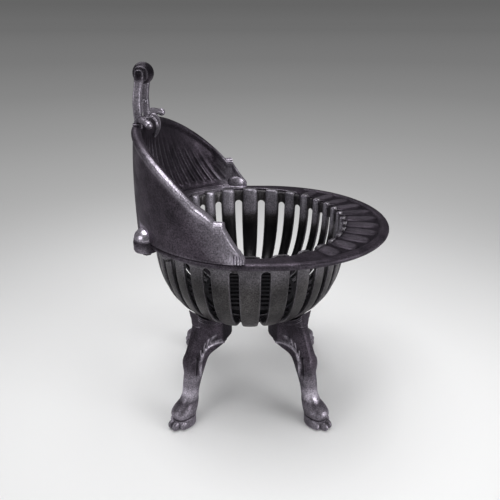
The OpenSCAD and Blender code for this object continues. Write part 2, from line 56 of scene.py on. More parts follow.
bowlLow, bowlHigh = millimetres("bowl")
rimLow, rimHigh = millimetres("rim")
hoodLow, hoodHigh = millimetres("hood")
handleLow, handleHigh = millimetres("handle")
axisY = (bowlLow[1] + bowlHigh[1]) / 2
flangeRadius = (bowlHigh[0] - bowlLow[0]) / 2
bowlBottom = bowlLow[2]
rimTop = rimHigh[2]
hoodTop = hoodHigh[2]


# Shader node helpers
def addNode(tree, kind, inputs=None, **settings):
    node = tree.nodes.new(kind)
    for name, value in settings.items():
        setattr(node, name, value)
    for name, value in (inputs or {}).items():
        if isinstance(value, bpy.types.NodeSocket):
            tree.links.new(value, node.inputs[name])
        else:
            node.inputs[name].default_value = value
    return node


def colour(value):
    return (*value, 1.0)


# Cast surface: sand grain of the mould, soft blotches of polish and darker hollows, as one group
def makeCastGroup():
    tree = bpy.data.node_groups.new("castSurface", "ShaderNodeTree")
    face = tree.interface
    for name, start in (("grainScale", 900.0), ("blotchScale", 22.0)):
        face.new_socket(name, in_out="INPUT", socket_type="NodeSocketFloat").default_value = start
    for name in ("grain", "blotch", "height"):
        face.new_socket(name, in_out="OUTPUT", socket_type="NodeSocketFloat")
    inside = addNode(tree, "NodeGroupInput")
    outside = addNode(tree, "NodeGroupOutput")
    place = addNode(tree, "ShaderNodeTexCoord").outputs["Object"]
    grain = addNode(tree, "ShaderNodeTexNoise", {"Vector": place, "Scale": inside.outputs["grainScale"],
                                                 "Detail": 3.0, "Roughness": 0.6})
    coarse = addNode(tree, "ShaderNodeTexNoise", {"Vector": place, "Scale": 260.0, "Detail": 2.0})
    blotch = addNode(tree, "ShaderNodeTexNoise", {"Vector": place, "Scale": inside.outputs["blotchScale"],
                                                  "Detail": 5.0, "Roughness": 0.62})
    blotchMask = addNode(tree, "ShaderNodeMapRange", {"Value": blotch.outputs["Fac"], "From Min": 0.36,
                                                      "From Max": 0.66})
    height = addNode(tree, "ShaderNodeMath", {0: grain.outputs["Fac"], 1: 0.6}, operation="MULTIPLY")
    height = addNode(tree, "ShaderNodeMath", {0: coarse.outputs["Fac"], 1: height.outputs[0]}, operation="ADD")
    tree.links.new(grain.outputs["Fac"], outside.inputs["grain"])
    tree.links.new(blotchMask.outputs["Result"], outside.inputs["blotch"])
    tree.links.new(height.outputs[0], outside.inputs["height"])
    return tree


castGroup = makeCastGroup()


# A black iron finish: dark base, polish and painted highlight that lighten raised edges and chosen places towards the
# near-white edge colour, painted shade that darkens hollows and chosen places towards the near-black hollow colour,
# grain in gloss and relief
def makeIron(name, look):
    material = bpy.data.materials.new(name)
    material.use_nodes = True
    tree = material.node_tree
    skin = tree.nodes["Principled BSDF"]
    cast = addNode(tree, "ShaderNodeGroup", {}, node_tree=castGroup)
    cast.inputs["grainScale"].default_value = look["grainScale"]
    cast.inputs["blotchScale"].default_value = look["blotchScale"]
    edgeWearAndHighlight, polishAndPaintedLight, hollow = (addNode(tree, "ShaderNodeAttribute", attribute_name=kind).outputs["Fac"]
                         for kind in ("edgeWearAndHighlight", "polishAndPaintedLight", "hollow"))
    base = addNode(tree, "ShaderNodeMix", {0: cast.outputs["blotch"], 6: colour(look["dark"]),
                                           7: colour(look["body"])}, data_type="RGBA")
    base = addNode(tree, "ShaderNodeMix", {0: hollow, 6: base.outputs[2], 7: colour(look["hollow"])},
                   data_type="RGBA")
    shade = addNode(tree, "ShaderNodeMapRange", {"Value": cast.outputs["grain"], "From Min": 0.36, "From Max": 0.66,
                                                 "To Min": 0.45, "To Max": 1.6})
    base = addNode(tree, "ShaderNodeVectorMath", {0: base.outputs[2], "Scale": shade.outputs["Result"]},
                   operation="SCALE")
    speck = addNode(tree, "ShaderNodeMapRange", {"Value": cast.outputs["grain"], "From Min": 0.36, "From Max": 0.66,
                                                 "To Min": 0.4})
    patchy = addNode(tree, "ShaderNodeMapRange", {"Value": cast.outputs["blotch"], "To Min": 0.35})
    # Share of polish and painted highlight: edge wear, which is partly painted highlight, plus the painted highlight
    # given per point
    polishAndHighlight = addNode(tree, "ShaderNodeMath", {0: edgeWearAndHighlight, 1: look["edgeWearAndHighlight"], 2: polishAndPaintedLight}, operation="MULTIPLY_ADD",
                     use_clamp=True)
    polishAndHighlight = addNode(tree, "ShaderNodeMath", {0: polishAndHighlight.outputs[0], 1: speck.outputs["Result"]},
                     operation="MULTIPLY")
    polishAndHighlight = addNode(tree, "ShaderNodeMath", {0: polishAndHighlight.outputs[0], 1: patchy.outputs["Result"]},
                     operation="MULTIPLY", use_clamp=True)
    tint = addNode(tree, "ShaderNodeMix", {0: polishAndHighlight.outputs[0], 6: base.outputs[0],
                                           7: colour(look["edge"])}, data_type="RGBA")
    tree.links.new(tint.outputs[2], skin.inputs["Base Color"])
    rough = addNode(tree, "ShaderNodeMapRange", {"Value": cast.outputs["blotch"], "To Min": look["roughHigh"],
                                                 "To Max": look["roughLow"]})
    shine = addNode(tree, "ShaderNodeMath", {0: polishAndHighlight.outputs[0], 1: look["wearShine"]}, operation="MULTIPLY")
    rough = addNode(tree, "ShaderNodeMath", {0: rough.outputs["Result"], 1: shine.outputs[0]},
                    operation="SUBTRACT", use_clamp=True)
    tree.links.new(rough.outputs[0], skin.inputs["Roughness"])
    metal = addNode(tree, "ShaderNodeMath", {0: polishAndHighlight.outputs[0], 1: look["bare"], 2: look["metallic"]},
                    operation="MULTIPLY_ADD", use_clamp=True)
    tree.links.new(metal.outputs[0], skin.inputs["Metallic"])
    skin.inputs["Specular IOR Level"].default_value = look.get("specular", 0.5)
    skin.inputs["Specular Tint"].default_value = colour(look["grazing"])
    bump = addNode(tree, "ShaderNodeBump", {"Height": cast.outputs["height"], "Strength": look["bump"],
                                            "Distance": look["bumpDepth"]})
    tree.links.new(bump.outputs["Normal"], skin.inputs["Normal"])
    return material


# edge is the colour of polish and painted highlight; hollow is the colour of painted shade
finishes = {
    "black_iron": makeIron("blackIron", dict(
        dark=(0.022, 0.018, 0.024), body=(0.066, 0.054, 0.07), edge=(0.86, 0.8, 0.92),
        hollow=(0.003, 0.0025, 0.004), edgeWearAndHighlight=0.4, wearShine=0.05, metallic=0.55, bare=0.6, grazing=(0.5, 0.45, 0.53),
        roughLow=0.32, roughHigh=0.48, grainScale=430.0, blotchScale=26.0, bump=0.7, bumpDepth=0.0005)),
    "fired_iron": makeIron("firedIron", dict(
        dark=(0.021, 0.0195, 0.0205), body=(0.05, 0.0465, 0.047), edge=(0.8, 0.75, 0.87),
        hollow=(0.002, 0.002, 0.003), edgeWearAndHighlight=0.16, wearShine=0.03, metallic=0.4, bare=0.8, grazing=(0.6, 0.58, 0.6),
        roughLow=0.3, roughHigh=0.48, grainScale=430.0, blotchScale=18.0, bump=0.6, bumpDepth=0.0005)),
    # A near-black copy of the iron for the bottom grate: painted shade for the grate deep inside the bowl
    "shaded_grate_iron": makeIron("shadedGrateIron", dict(
        dark=(0.006, 0.006, 0.007), body=(0.014, 0.013, 0.015), edge=(0.05, 0.05, 0.06),
        hollow=(0.002, 0.002, 0.002), edgeWearAndHighlight=0.2, wearShine=0.0, metallic=0.0, bare=0.0, specular=0.08, grazing=(0.5, 0.5, 0.5),
        roughLow=0.6, roughHigh=0.8, grainScale=430.0, blotchScale=30.0, bump=0.5, bumpDepth=0.0005)),
    "dark_steel": makeIron("darkSteel", dict(
        dark=(0.03, 0.028, 0.03), body=(0.06, 0.056, 0.06), edge=(0.3, 0.28, 0.32),
        hollow=(0.01, 0.01, 0.01), edgeWearAndHighlight=0.6, wearShine=0.1, metallic=0.7, bare=0.3, grazing=(0.5, 0.48, 0.5),
        roughLow=0.3, roughHigh=0.45, grainScale=600.0, blotchScale=30.0, bump=0.3, bumpDepth=0.0002)),
}
slotOf = {part["node"]: part["material_slot"] for part in frame["record"]["subparts"]}
for nodeName, cadObject in frame["nodes"].items():
    cadObject.data.materials.clear()
    # The bottom grate takes the near-black copy, painted shade
    shadedGrate = nodeName == "bottom_grate"
    cadObject.data.materials.append(finishes["shaded_grate_iron" if shadedGrate else slotOf[nodeName]])
print("finishes on the CAD nodes")


# A smooth step: nought up to low, one from high, and 3s^2 - 2s^3 between them
def ease(value, low, high):
    share = np.clip((value - low) / (high - low), 0, 1)
    return share * share * (3 - 2 * share)


# A line of points, given again at even distances along its length
def evenly(points, count):
    points = np.asarray(points, float)
    run = np.concatenate([[0], np.cumsum(np.linalg.norm(np.diff(points, axis=0), axis=1))])
    steps = np.linspace(0, run[-1], count)
    return np.stack([np.interp(steps, run, column) for column in points.T], 1), steps


# A closed shell from a grid of points: quads between neighbouring rows and columns, columns closed into
# rings, and rows either closed too or each end shut by a fan round its mean. Turned outwards by its volume.
def gridShell(points, closeRows=False):
    rows, columns = points.shape[:2]
    index = np.arange(rows * columns).reshape(rows, columns)
    if closeRows:
        index = np.vstack([index, index[:1]])
    index = np.hstack([index, index[:, :1]])
    quads = np.stack([index[:-1, :-1], index[:-1, 1:], index[1:, 1:], index[1:, :-1]], -1).reshape(-1, 4)
    corners = points.reshape(-1, 3)
    fans = np.zeros((0, 3), int)
    if not closeRows:
        ends = np.array([points[0].mean(0), points[-1].mean(0)])
        count = len(corners)
        corners = np.vstack([corners, ends])
        first, last = index[0], index[-1]
        fans = np.vstack([
            np.stack([first[1:], first[:-1], np.full(columns, count)], 1),
            np.stack([last[:-1], last[1:], np.full(columns, count + 1)], 1)])
    a, b, c, d = (corners[quads[:, k]] for k in range(4))
    volume = (np.cross(a, b) * c).sum() + (np.cross(a, c) * d).sum()
    a, b, c = (corners[fans[:, k]] for k in range(3))
    volume += (np.cross(a, b) * c).sum()
    if volume < 0:
        quads, fans = quads[:, ::-1], fans[:, ::-1]
    return corners, quads, fans


# A value for each point, stored on the mesh for the materials to read
def setShare(mesh, name, value):
    mesh.attributes.new(name, "FLOAT", "POINT").data.foreach_set("value", value.astype(np.float32))


# Edge wear and painted light: each edge bends by -2(b - a).n / |b - a|^2 as seen from its end; the mean over a
# point's edges is positive on ridges, where polish and a painted highlight lighten the iron, and negative in hollows,
# where painted shade darkens it
def addEdgeHighlightAndHollowShade(mesh, most, shadeShare, sharpest=0.3, passes=2):
    count = len(mesh.vertices)
    place, normal = np.empty(count * 3), np.empty(count * 3)
    mesh.vertices.foreach_get("co", place)
    mesh.vertex_normals.foreach_get("vector", normal)
    place, normal = place.reshape(-1, 3) * 1000, normal.reshape(-1, 3)
    ends = np.empty(len(mesh.edges) * 2, int)
    mesh.edges.foreach_get("vertices", ends)
    a, b = ends.reshape(-1, 2).T
    step = place[b] - place[a]
    length = np.maximum((step ** 2).sum(1), 1e-4)
    share = np.bincount(a, minlength=count) + np.bincount(b, minlength=count)
    share = np.maximum(share, 1)
    bend = (np.bincount(a, -2 * (step * normal[a]).sum(1) / length, count)
            + np.bincount(b, 2 * (step * normal[b]).sum(1) / length, count)) / share
    for _ in range(passes):
        bend = 0.5 * bend + 0.5 * (np.bincount(a, bend[b], count) + np.bincount(b, bend[a], count)) / share
    setShare(mesh, "edgeWearAndHighlight", most * ease(bend, 0.03, sharpest))
    setShare(mesh, "hollow", np.maximum(ease(-bend, 0.03, sharpest), shadeShare))


# One piece from closed shells worked out in millimetres round the bowl's axis. A function of the points gives
# the share of polish and painted highlight at each point, or less than nought where painted shade darkens it.
def makePiece(name, shells, nodes, body="basket", slot="black_iron", polishHighlightAndShade=None, edgeWearAndHighlightMost=1.0):
    corners, quads, fans, count = [], [], [], 0
    for points, four, three in shells:
        corners.append(points)
        quads.append(four + count)
        fans.append(three + count)
        count += len(points)
    corners = np.vstack(corners)
    polishAndPaintedLight = polishHighlightAndShade(*corners.T) if polishHighlightAndShade else np.zeros(len(corners))
    corners = (corners + (0, axisY, 0)) / 1000
    quads, fans = np.vstack(quads), np.vstack(fans)
    mesh = bpy.data.meshes.new(name)
    mesh.vertices.add(len(corners))
    mesh.vertices.foreach_set("co", corners.astype(np.float32).ravel())
    mesh.loops.add(quads.size + fans.size)
    mesh.loops.foreach_set("vertex_index", np.concatenate([quads.ravel(), fans.ravel()]).astype(np.int32))
    starts = np.concatenate([np.arange(len(quads)) * 4, quads.size + np.arange(len(fans)) * 3])
    mesh.polygons.add(len(starts))
    mesh.polygons.foreach_set("loop_start", starts.astype(np.int32))
    mesh.update(calc_edges=True)
    mesh.validate()
    mesh.shade_smooth()
    mesh.set_sharp_from_angle(angle=math.radians(50))
    addEdgeHighlightAndHollowShade(mesh, edgeWearAndHighlightMost, np.clip(-polishAndPaintedLight, 0, 1))
    setShare(mesh, "polishAndPaintedLight", np.clip(polishAndPaintedLight, 0, 1))
    piece = bpy.data.objects.new(name, mesh)
    bpy.context.scene.collection.objects.link(piece)
    mesh.materials.append(finishes[slot])
    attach(piece, body)
    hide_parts(*nodes)
    print(name, "made:", len(mesh.vertices), "points")
    return piece


# A turned shape: radius and height round an upright axis at (x, y)
def turned(profile, steps=96, x=0.0, y=0.0):
    profile = np.asarray(profile, float)
    angle = np.linspace(0, 2 * np.pi, steps, endpoint=False)[:, None]
    points = np.stack([x + profile[:, 0] * np.sin(angle), y - profile[:, 0] * np.cos(angle),
                       np.broadcast_to(profile[:, 1], (steps, len(profile)))], -1)
    return gridShell(points, closeRows=True)


# A shell whose points all keep at least a distance from the bowl's axis: nearer ones move straight outwards
def keptOutside(distance, shell):
    points = shell[0]
    away = np.hypot(points[:, 0], points[:, 1])
    points[:, :2] *= (np.maximum(away, distance) / away)[:, None]
    return shell


# The bowl: slats that narrow towards its bottom, a rib behind each, a collar with a flange, and a dish
bowlLook = dict(
    slatAngles=(0, 9, 18, 27.5, 37.5, 48.5, 60, 73.5, 90),  # degrees from the front, mirrored all round
    slotAngle=4.3, slotSpread=0.12,                          # a slot's width in degrees, and its growth with spacing
    flangeWidth=7.0, flangeThick=7.0, flatRadius=60.0, fullness=2.5,
    stripThick=5.0, crown=0.9, ribDepth=10.5, ribShare=0.97, slotTop=12.0, ribTop=12.4,
    tipRadius=83.0, tipRound=7.0, dishThick=8.0, dishRecess=1.2, dishRadius=88.0, ashRadius=46.0,
    ledge=(78.0, 86.0, 16.0), earRadius=9.0, earDistance=176.0, ribTopHighlight=0.95,
    slatTopHighlight=0.2)
mouthRadius = flangeRadius - bowlLook["flangeWidth"]
rimUnder = bowlHigh[2] - 8.0


# The bowl's side is a superellipse: (r - flat)/(reach) and depth as cosine and sine to the power 2/fullness
def bowlSide(look, steps=400):
    angle = np.linspace(0, np.pi / 2, steps)
    power = 2 / look["fullness"]
    radius = look["flatRadius"] + (mouthRadius - look["flatRadius"]) * np.cos(angle) ** power
    return np.stack([radius, rimUnder - (rimUnder - bowlBottom) * np.sin(angle) ** power], 1)


# All slots in order from the front, with their middles and widths in degrees
def bowlSlots(look):
    quarter = np.array(look["slatAngles"])
    middle = (quarter[1:] + quarter[:-1]) / 2
    wide = look["slotAngle"] + look["slotSpread"] * (np.diff(quarter) - quarter[1])
    return (np.concatenate([middle, 180 - middle[::-1], 180 + middle, 360 - middle[::-1]]),
            np.concatenate([wide, wide[::-1], wide, wide[::-1]]))


# A bar along the bowl's side: a section (across, outwards) scaled at each station and carried along the side
def sideBar(path, angle, section, across, inwards):
    along = np.gradient(path, axis=0)
    along /= np.linalg.norm(along, axis=1)[:, None]
    outward = np.stack([along[:, 1], -along[:, 0]], 1)
    depth = section[None, :, 1] * inwards[:, None]
    radius = path[:, None, 0] + outward[:, None, 0] * depth
    height = path[:, None, 1] + outward[:, None, 1] * depth
    side = section[None, :, 0] * across[:, None]
    turn = math.radians(angle)
    return np.stack([radius * math.sin(turn) + side * math.cos(turn),
                     -radius * math.cos(turn) + side * math.sin(turn), height], -1)


def makeBowl(look):
    side = bowlSide(look)[::-1]
    side = side[side[:, 0] >= look["tipRadius"]]
    strip, run = evenly(np.vstack([side, [mouthRadius, rimUnder + 4]]), 60)
    rib, ribRun = evenly(np.vstack([side, [mouthRadius, rimUnder + look["ribTop"]]]), 64)
    turn = np.linspace(0, 2 * np.pi, 28, endpoint=False)
    cosine, sine = np.cos(turn), np.sin(turn)
    half = look["stripThick"] / 2
    flat = np.stack([np.sign(cosine) * abs(cosine) ** 0.3, half * np.sign(sine) * abs(sine) ** 0.3 - half], 1)
    flat[:, 1] += look["crown"] * (1 - flat[:, 0] ** 2) * (sine > 0) - look["crown"]
    round_ = np.stack([np.sign(cosine) * abs(cosine) ** 0.85, np.where(sine > 0, 1.2 * sine, 0) - 2.4
                       - np.where(sine < 0, (look["ribDepth"] - 2.4) * abs(sine) ** 0.85, 0)], 1)
    middles, wides = bowlSlots(look)
    shells = []
    for slot in range(len(middles)):
        start = middles[slot - 1] + wides[slot - 1] / 2 - (360 if slot == 0 else 0)
        end = middles[slot] - wides[slot] / 2
        halfAngle = math.radians(end - start) / 2
        opening = math.radians(wides[slot]) / 2 * mouthRadius
        arch = np.clip((strip[:, 1] - (rimUnder - look["slotTop"] - opening)) / opening, 0, 1)
        tip = np.sqrt(np.clip(1 - (1 - run / look["tipRound"]) ** 2, 0.002, 1) * (run < look["tipRound"])
                      + (run >= look["tipRound"]))
        across = strip[:, 0] * math.tan(halfAngle) * tip + opening * (1 - np.sqrt(1 - arch ** 2))
        shells.append(gridShell(sideBar(strip, (start + end) / 2, flat, across, np.maximum(tip, 0.3))))
        lift = ribRun[-1] - ribRun
        dome = np.sqrt(np.clip(1 - np.clip(1 - lift / 5.5, 0, 1) ** 2, 0.004, 1))
        tip = np.sqrt(np.clip(1 - np.clip(1 - ribRun / look["tipRound"], 0, 1) ** 2, 0.004, 1))
        across = rib[:, 0] * math.tan(halfAngle) * look["ribShare"] * tip * (0.35 + 0.65 * dome)
        shells.append(gridShell(sideBar(rib, (start + end) / 2, round_, across, 0.25 + 0.75 * dome * tip)))
    collarTop = rimUnder + 7.2
    inner = mouthRadius - look["stripThick"]
    shells.append(turned([
        (inner + 0.4, rimUnder - look["slotTop"] - 0.5), (mouthRadius - 1.2, rimUnder - look["slotTop"] - 0.5),
        (mouthRadius - 1, rimUnder - look["flangeThick"]), (flangeRadius - 1, rimUnder - look["flangeThick"]),
        (flangeRadius, rimUnder - look["flangeThick"] + 1), (flangeRadius, rimUnder - 0.8),
        (flangeRadius - 0.8, rimUnder), (mouthRadius, rimUnder), (mouthRadius, collarTop - 1.2),
        (mouthRadius - 1.2, collarTop), (inner + 1.2, collarTop), (inner, collarTop - 1.2)], 160))
    dish = bowlSide(look)[::-1]
    dish = dish[(dish[:, 0] < look["dishRadius"])][::8]
    recess = look["dishRecess"] * ease(dish[:, 0], look["flatRadius"], look["flatRadius"] + 12)
    dishTop = bowlBottom + look["dishThick"]
    ledgeIn, ledgeOut, ledgeHigh = look["ledge"]
    ledgeTop = bowlBottom + ledgeHigh
    shells.append(turned(
        [(look["ashRadius"], dishTop - 1), (look["ashRadius"], bowlBottom + 1), (look["ashRadius"] + 1, bowlBottom)]
        + list(np.stack([dish[:, 0], dish[:, 1] + recess], 1))
        + [(look["dishRadius"] + 1, dish[-1, 1] + 3), (look["dishRadius"], dishTop), (ledgeOut, dishTop + 1),
           (ledgeOut, ledgeTop - 1), (ledgeOut - 1, ledgeTop), (ledgeIn + 1, ledgeTop), (ledgeIn, ledgeTop - 1),
           (ledgeIn, dishTop), (look["ashRadius"] + 1, dishTop)], 160))
    for angle in (45, 135, 225, 315):
        turn = math.radians(angle)
        low, high, wide = rimUnder - look["flangeThick"], rimUnder, look["earRadius"]
        shells.append(turned([(0.2, low), (wide - 1, low), (wide, low + 1), (wide, high - 0.6),
                              (wide - 0.6, high), (0.2, high)], 40,
                             look["earDistance"] * math.sin(turn), -look["earDistance"] * math.cos(turn)))

    # Painted highlight on the ribs' inner faces near the top and on the slats' outer tops; painted shade on the ribs'
    # inner faces lower down in the bowl
    def polishHighlightAndShade(x, y, z):
        depth = np.interp(z, side[:, 1], side[:, 0]) - np.hypot(x, y)
        high = ease(z, rimUnder - 66, rimUnder - 18)
        slatTopLight = look["slatTopHighlight"] * (1 - ease(depth, 1, 2.5)) * ease(z, rimUnder - 50, rimUnder - 12)
        return look["ribTopHighlight"] * ease(depth, 5, 9) * high - 0.95 * ease(depth, 2.6, 4.5) * (1 - high) + slatTopLight

    return makePiece("bowlSlats", shells, ["bowl"], slot="fired_iron", polishHighlightAndShade=polishHighlightAndShade)


makeBowl(bowlLook)


# The rim: an oval plate with a rounded lip and, on its front apron, long convex reeds in a sunk field
rimLook = dict(
    thick=11.0, sideReach=188.0, ovalStart=30.0, lipInset=9.0, lipDrop=6.0, underInset=5.0, opening=166.0,
    tongue=10.0, reedStart=159.0, reedBorder=15.0, reedDepth=3.0, reedShare=0.66, reedSlats=6,
    lugRadius=20.0, lugThick=18.0, lugInside=172.5, domeDistance=187.5, domeAngle=31.0, rimDarkening=0.2)


# How far the rim reaches at an angle from the front: a circle behind, a straight side, an ellipse in front
def rimReach(angle, look):
    front = axisY - rimLow[1]
    half, start = look["sideReach"], look["ovalStart"]
    reach = front - start
    sine, cosine = np.sin(angle), np.cos(angle)
    p = (sine / half) ** 2 + (cosine / reach) ** 2
    q = start * cosine / reach ** 2
    oval = (q + np.sqrt(np.maximum(q * q + p * (1 - (start / reach) ** 2), 0))) / p
    straight = half / np.maximum(abs(sine), 1e-6)
    result = np.where(oval * cosine >= start, oval, straight)
    return np.where(cosine <= 0, half, result)


def makeRim(look):
    angle = np.linspace(0, 2 * np.pi, 900, endpoint=False)
    reach = rimReach(angle, look)[:, None]
    quarter = np.radians(bowlLook["slatAngles"][:look["reedSlats"] + 1])
    pitches = [(-quarter[1] / 2, quarter[1] / 2)] + [
        ((quarter[k] + quarter[k - 1]) / 2, (quarter[k] + quarter[k + 1]) / 2) for k in range(1, look["reedSlats"])]
    offMiddle = np.minimum(angle, 2 * np.pi - angle)
    scallop = np.zeros_like(angle)
    for left, right in pitches:
        across = (2 * offMiddle - left - right) / (right - left)
        scallop = np.maximum(scallop, np.sqrt(np.clip(1 - across ** 2, 0, 1)))
    inner = look["opening"] - look["tongue"] * scallop[:, None]
    top, under = rimTop, rimTop - look["thick"]
    round_ = np.linspace(0, np.pi / 2, 8)
    share = np.linspace(0, 1, 44)[None, :]
    crest = reach - look["lipInset"]
    radius = np.concatenate([
        inner + np.array([[0, 0, 0.5]]),
        inner + 1.5 + share * (crest - inner - 1.5),
        reach - look["lipInset"] * (1 - np.sin(round_[1:])),
        reach - look["underInset"] * (1 - np.cos(round_[1:])),
        inner + 2 + np.linspace(1, 0, 5)[1:] * (reach - look["underInset"] - inner - 2)], 1)
    rows = len(angle)
    flatTop = np.full((rows, share.size), top)
    height = np.concatenate([
        np.broadcast_to([under + 1, top - 1.6, top - 0.5], (rows, 3)), flatTop,
        np.broadcast_to(top - look["lipDrop"] * (1 - np.cos(round_[1:])), (rows, 7)),
        np.broadcast_to(top - look["lipDrop"] - (look["thick"] - look["lipDrop"]) * np.sin(round_[1:]), (rows, 7)),
        np.full((rows, 4), under)], 1)
    x, y = radius * np.sin(angle)[:, None], -radius * np.cos(angle)[:, None]
    crown = np.zeros_like(radius)
    for left, right in pitches:
        halfPitch = (right - left) / 2
        for side in (-1, 1):
            turn = side * (left + right) / 2
            end = rimReach(np.array([turn]), look)[0] - look["reedBorder"]
            along = x * math.sin(turn) - y * math.cos(turn)
            across = x * math.cos(turn) + y * math.sin(turn)
            half = end * math.tan(halfPitch) * look["reedShare"]
            begin = look["reedStart"] + 2
            past = abs(2 * along - end - begin) / (end - begin)
            shape = (across / half) ** 2 + np.minimum(past, 2) ** 3.5
            crown = np.maximum(crown, np.clip(1 - shape, 0, 1) ** 0.5 * (along > 0))
    last = pitches[-1][1]
    offFront = np.arctan2(abs(x), -y)
    border = np.maximum(ease(radius - (reach - look["reedBorder"]), -2, 5),
                        ease(look["reedStart"] - radius, -1.5, 1.5))
    border = np.maximum(border, ease(offFront, last + 0.004, last + 0.06))
    sunk = look["reedDepth"] * (1 - np.maximum(crown, border))
    height = height - np.where(height > top - 0.9, sunk, 0)
    shells = [gridShell(np.stack([x, y, height], -1), closeRows=True)]
    for side in (-1, 1):
        turn = math.radians(180 + side * look["domeAngle"])
        wide, low = look["lugRadius"], top - look["lugThick"]
        shells.append(keptOutside(look["lugInside"], turned([
            (0.2, low), (wide - 3, low), (wide - 1.2, low + 0.9), (wide, low + 3.5), (wide, top - 2.5),
            (wide - 0.8, top - 0.8), (wide - 2, top - 0.1), (0.2, top - 0.1)], 64,
            look["domeDistance"] * math.sin(turn), -look["domeDistance"] * math.cos(turn))))

    # Painted highlight on the lugs and on the reeds' crests, painted shade in the sunk field between the reeds, and the
    # whole rim a little darker
    def polishHighlightAndShade(x, y, z):
        around, away = np.arctan2(abs(x), -y), np.hypot(x, y)
        field = (ease(away, look["reedStart"] - 1, look["reedStart"] + 3) * ease(last - around, -0.02, 0.01)
                 * ease(rimReach(around, look) - look["reedBorder"] - away, -4, 1))
        crest = ease(z, rimTop - 1.7, rimTop - 0.5)
        lugs = 0.6 * ease(y, 150, 160) * (1 - ease(z, rimTop - 6, rimTop - 3))
        return lugs + field * (0.3 * crest - 0.4 * (1 - crest)) - look["rimDarkening"]

    return makePiece("ovalRim", shells, ["rim"], polishHighlightAndShade=polishHighlightAndShade, edgeWearAndHighlightMost=0.45)


makeRim(rimLook)


# A lump: a superellipsoid, whose surface is cosines and sines of two angles to the power 2/power
def lump(centre, halves, power=2.0, turn=0.0, steps=40):
    high = np.linspace(-np.pi / 2 + 0.02, np.pi / 2 - 0.02, steps // 2)[:, None]
    round_ = np.linspace(0, 2 * np.pi, steps, endpoint=False)[None, :]

    def part(value):
        return np.sign(value) * abs(value) ** (2 / power)

    x = halves[0] * part(np.cos(high)) * part(np.cos(round_))
    y = halves[1] * part(np.cos(high)) * part(np.sin(round_))
    z = np.broadcast_to(halves[2] * part(np.sin(high)), x.shape)
    return gridShell(np.stack([centre[0] + x * math.cos(turn) - y * math.sin(turn),
                               centre[1] + x * math.sin(turn) + y * math.cos(turn), centre[2] + z], -1))


# The hood: a leaning wall with a rolled edge, flutes inside, a roll moulding at its inner foot, and wings that
# end in a banded wrist and a toed foot. Angles run from the back, heights from the rim.
hoodLook = dict(
    lean=10.0, spread=11.0, swell=5.5, tuck=18.0, tuckOver=9.0, flareHeight=100.0, wall=10.0, edge=15.0,
    crestDrop=2.0, fall=2.7, span=87.5, stepHigh=59.0, wristSpan=4.2, tip=88.0, toeHigh=8.0, toeDrop=46.0,
    footReach=20.5, flutes=28, fluteDepth=3.6, fluteTop=22.0, fluteFade=42.0, fan=0.6, fluteFoot=14.0, wristSwell=1.6, wristBands=3,
    shoulder=3.6, toes=4, toeGap=2.6, rollRadius=6.5, rollSpan=73.0, domeRadius=19.0, stileSpan=64.0, padAngle=81.0,
    padHalves=(18.0, 9.0, 15.0))
hoodRise = hoodTop - rimTop
hoodFoot = hoodHigh[1] - axisY
hoodLook["wingEnd"] = hoodLook["span"] * (
    1 - hoodLook["stepHigh"] / (hoodRise - hoodLook["crestDrop"])) ** (1 / hoodLook["fall"])


# Distance of the hood's outer face from the axis: a circle that grows and slides forward with height. Its
# wings swell with the squared sine of 1.6 times the angle and lean in towards their ends by a smooth step.
def hoodRadius(angle, height, look):
    grow = look["spread"] * height / hoodRise
    shift = grow + look["lean"] * np.maximum(height / hoodRise, 0) ** 2.5
    inward = look["tuck"] * ease(np.degrees(abs(angle)), look["wingEnd"] - look["tuckOver"], look["wingEnd"])
    return (np.sqrt((hoodFoot + grow) ** 2 - (shift * np.sin(angle)) ** 2) - shift * np.cos(angle)
            + height / look["flareHeight"] * (look["swell"] * np.sin(1.6 * angle) ** 2 - inward))


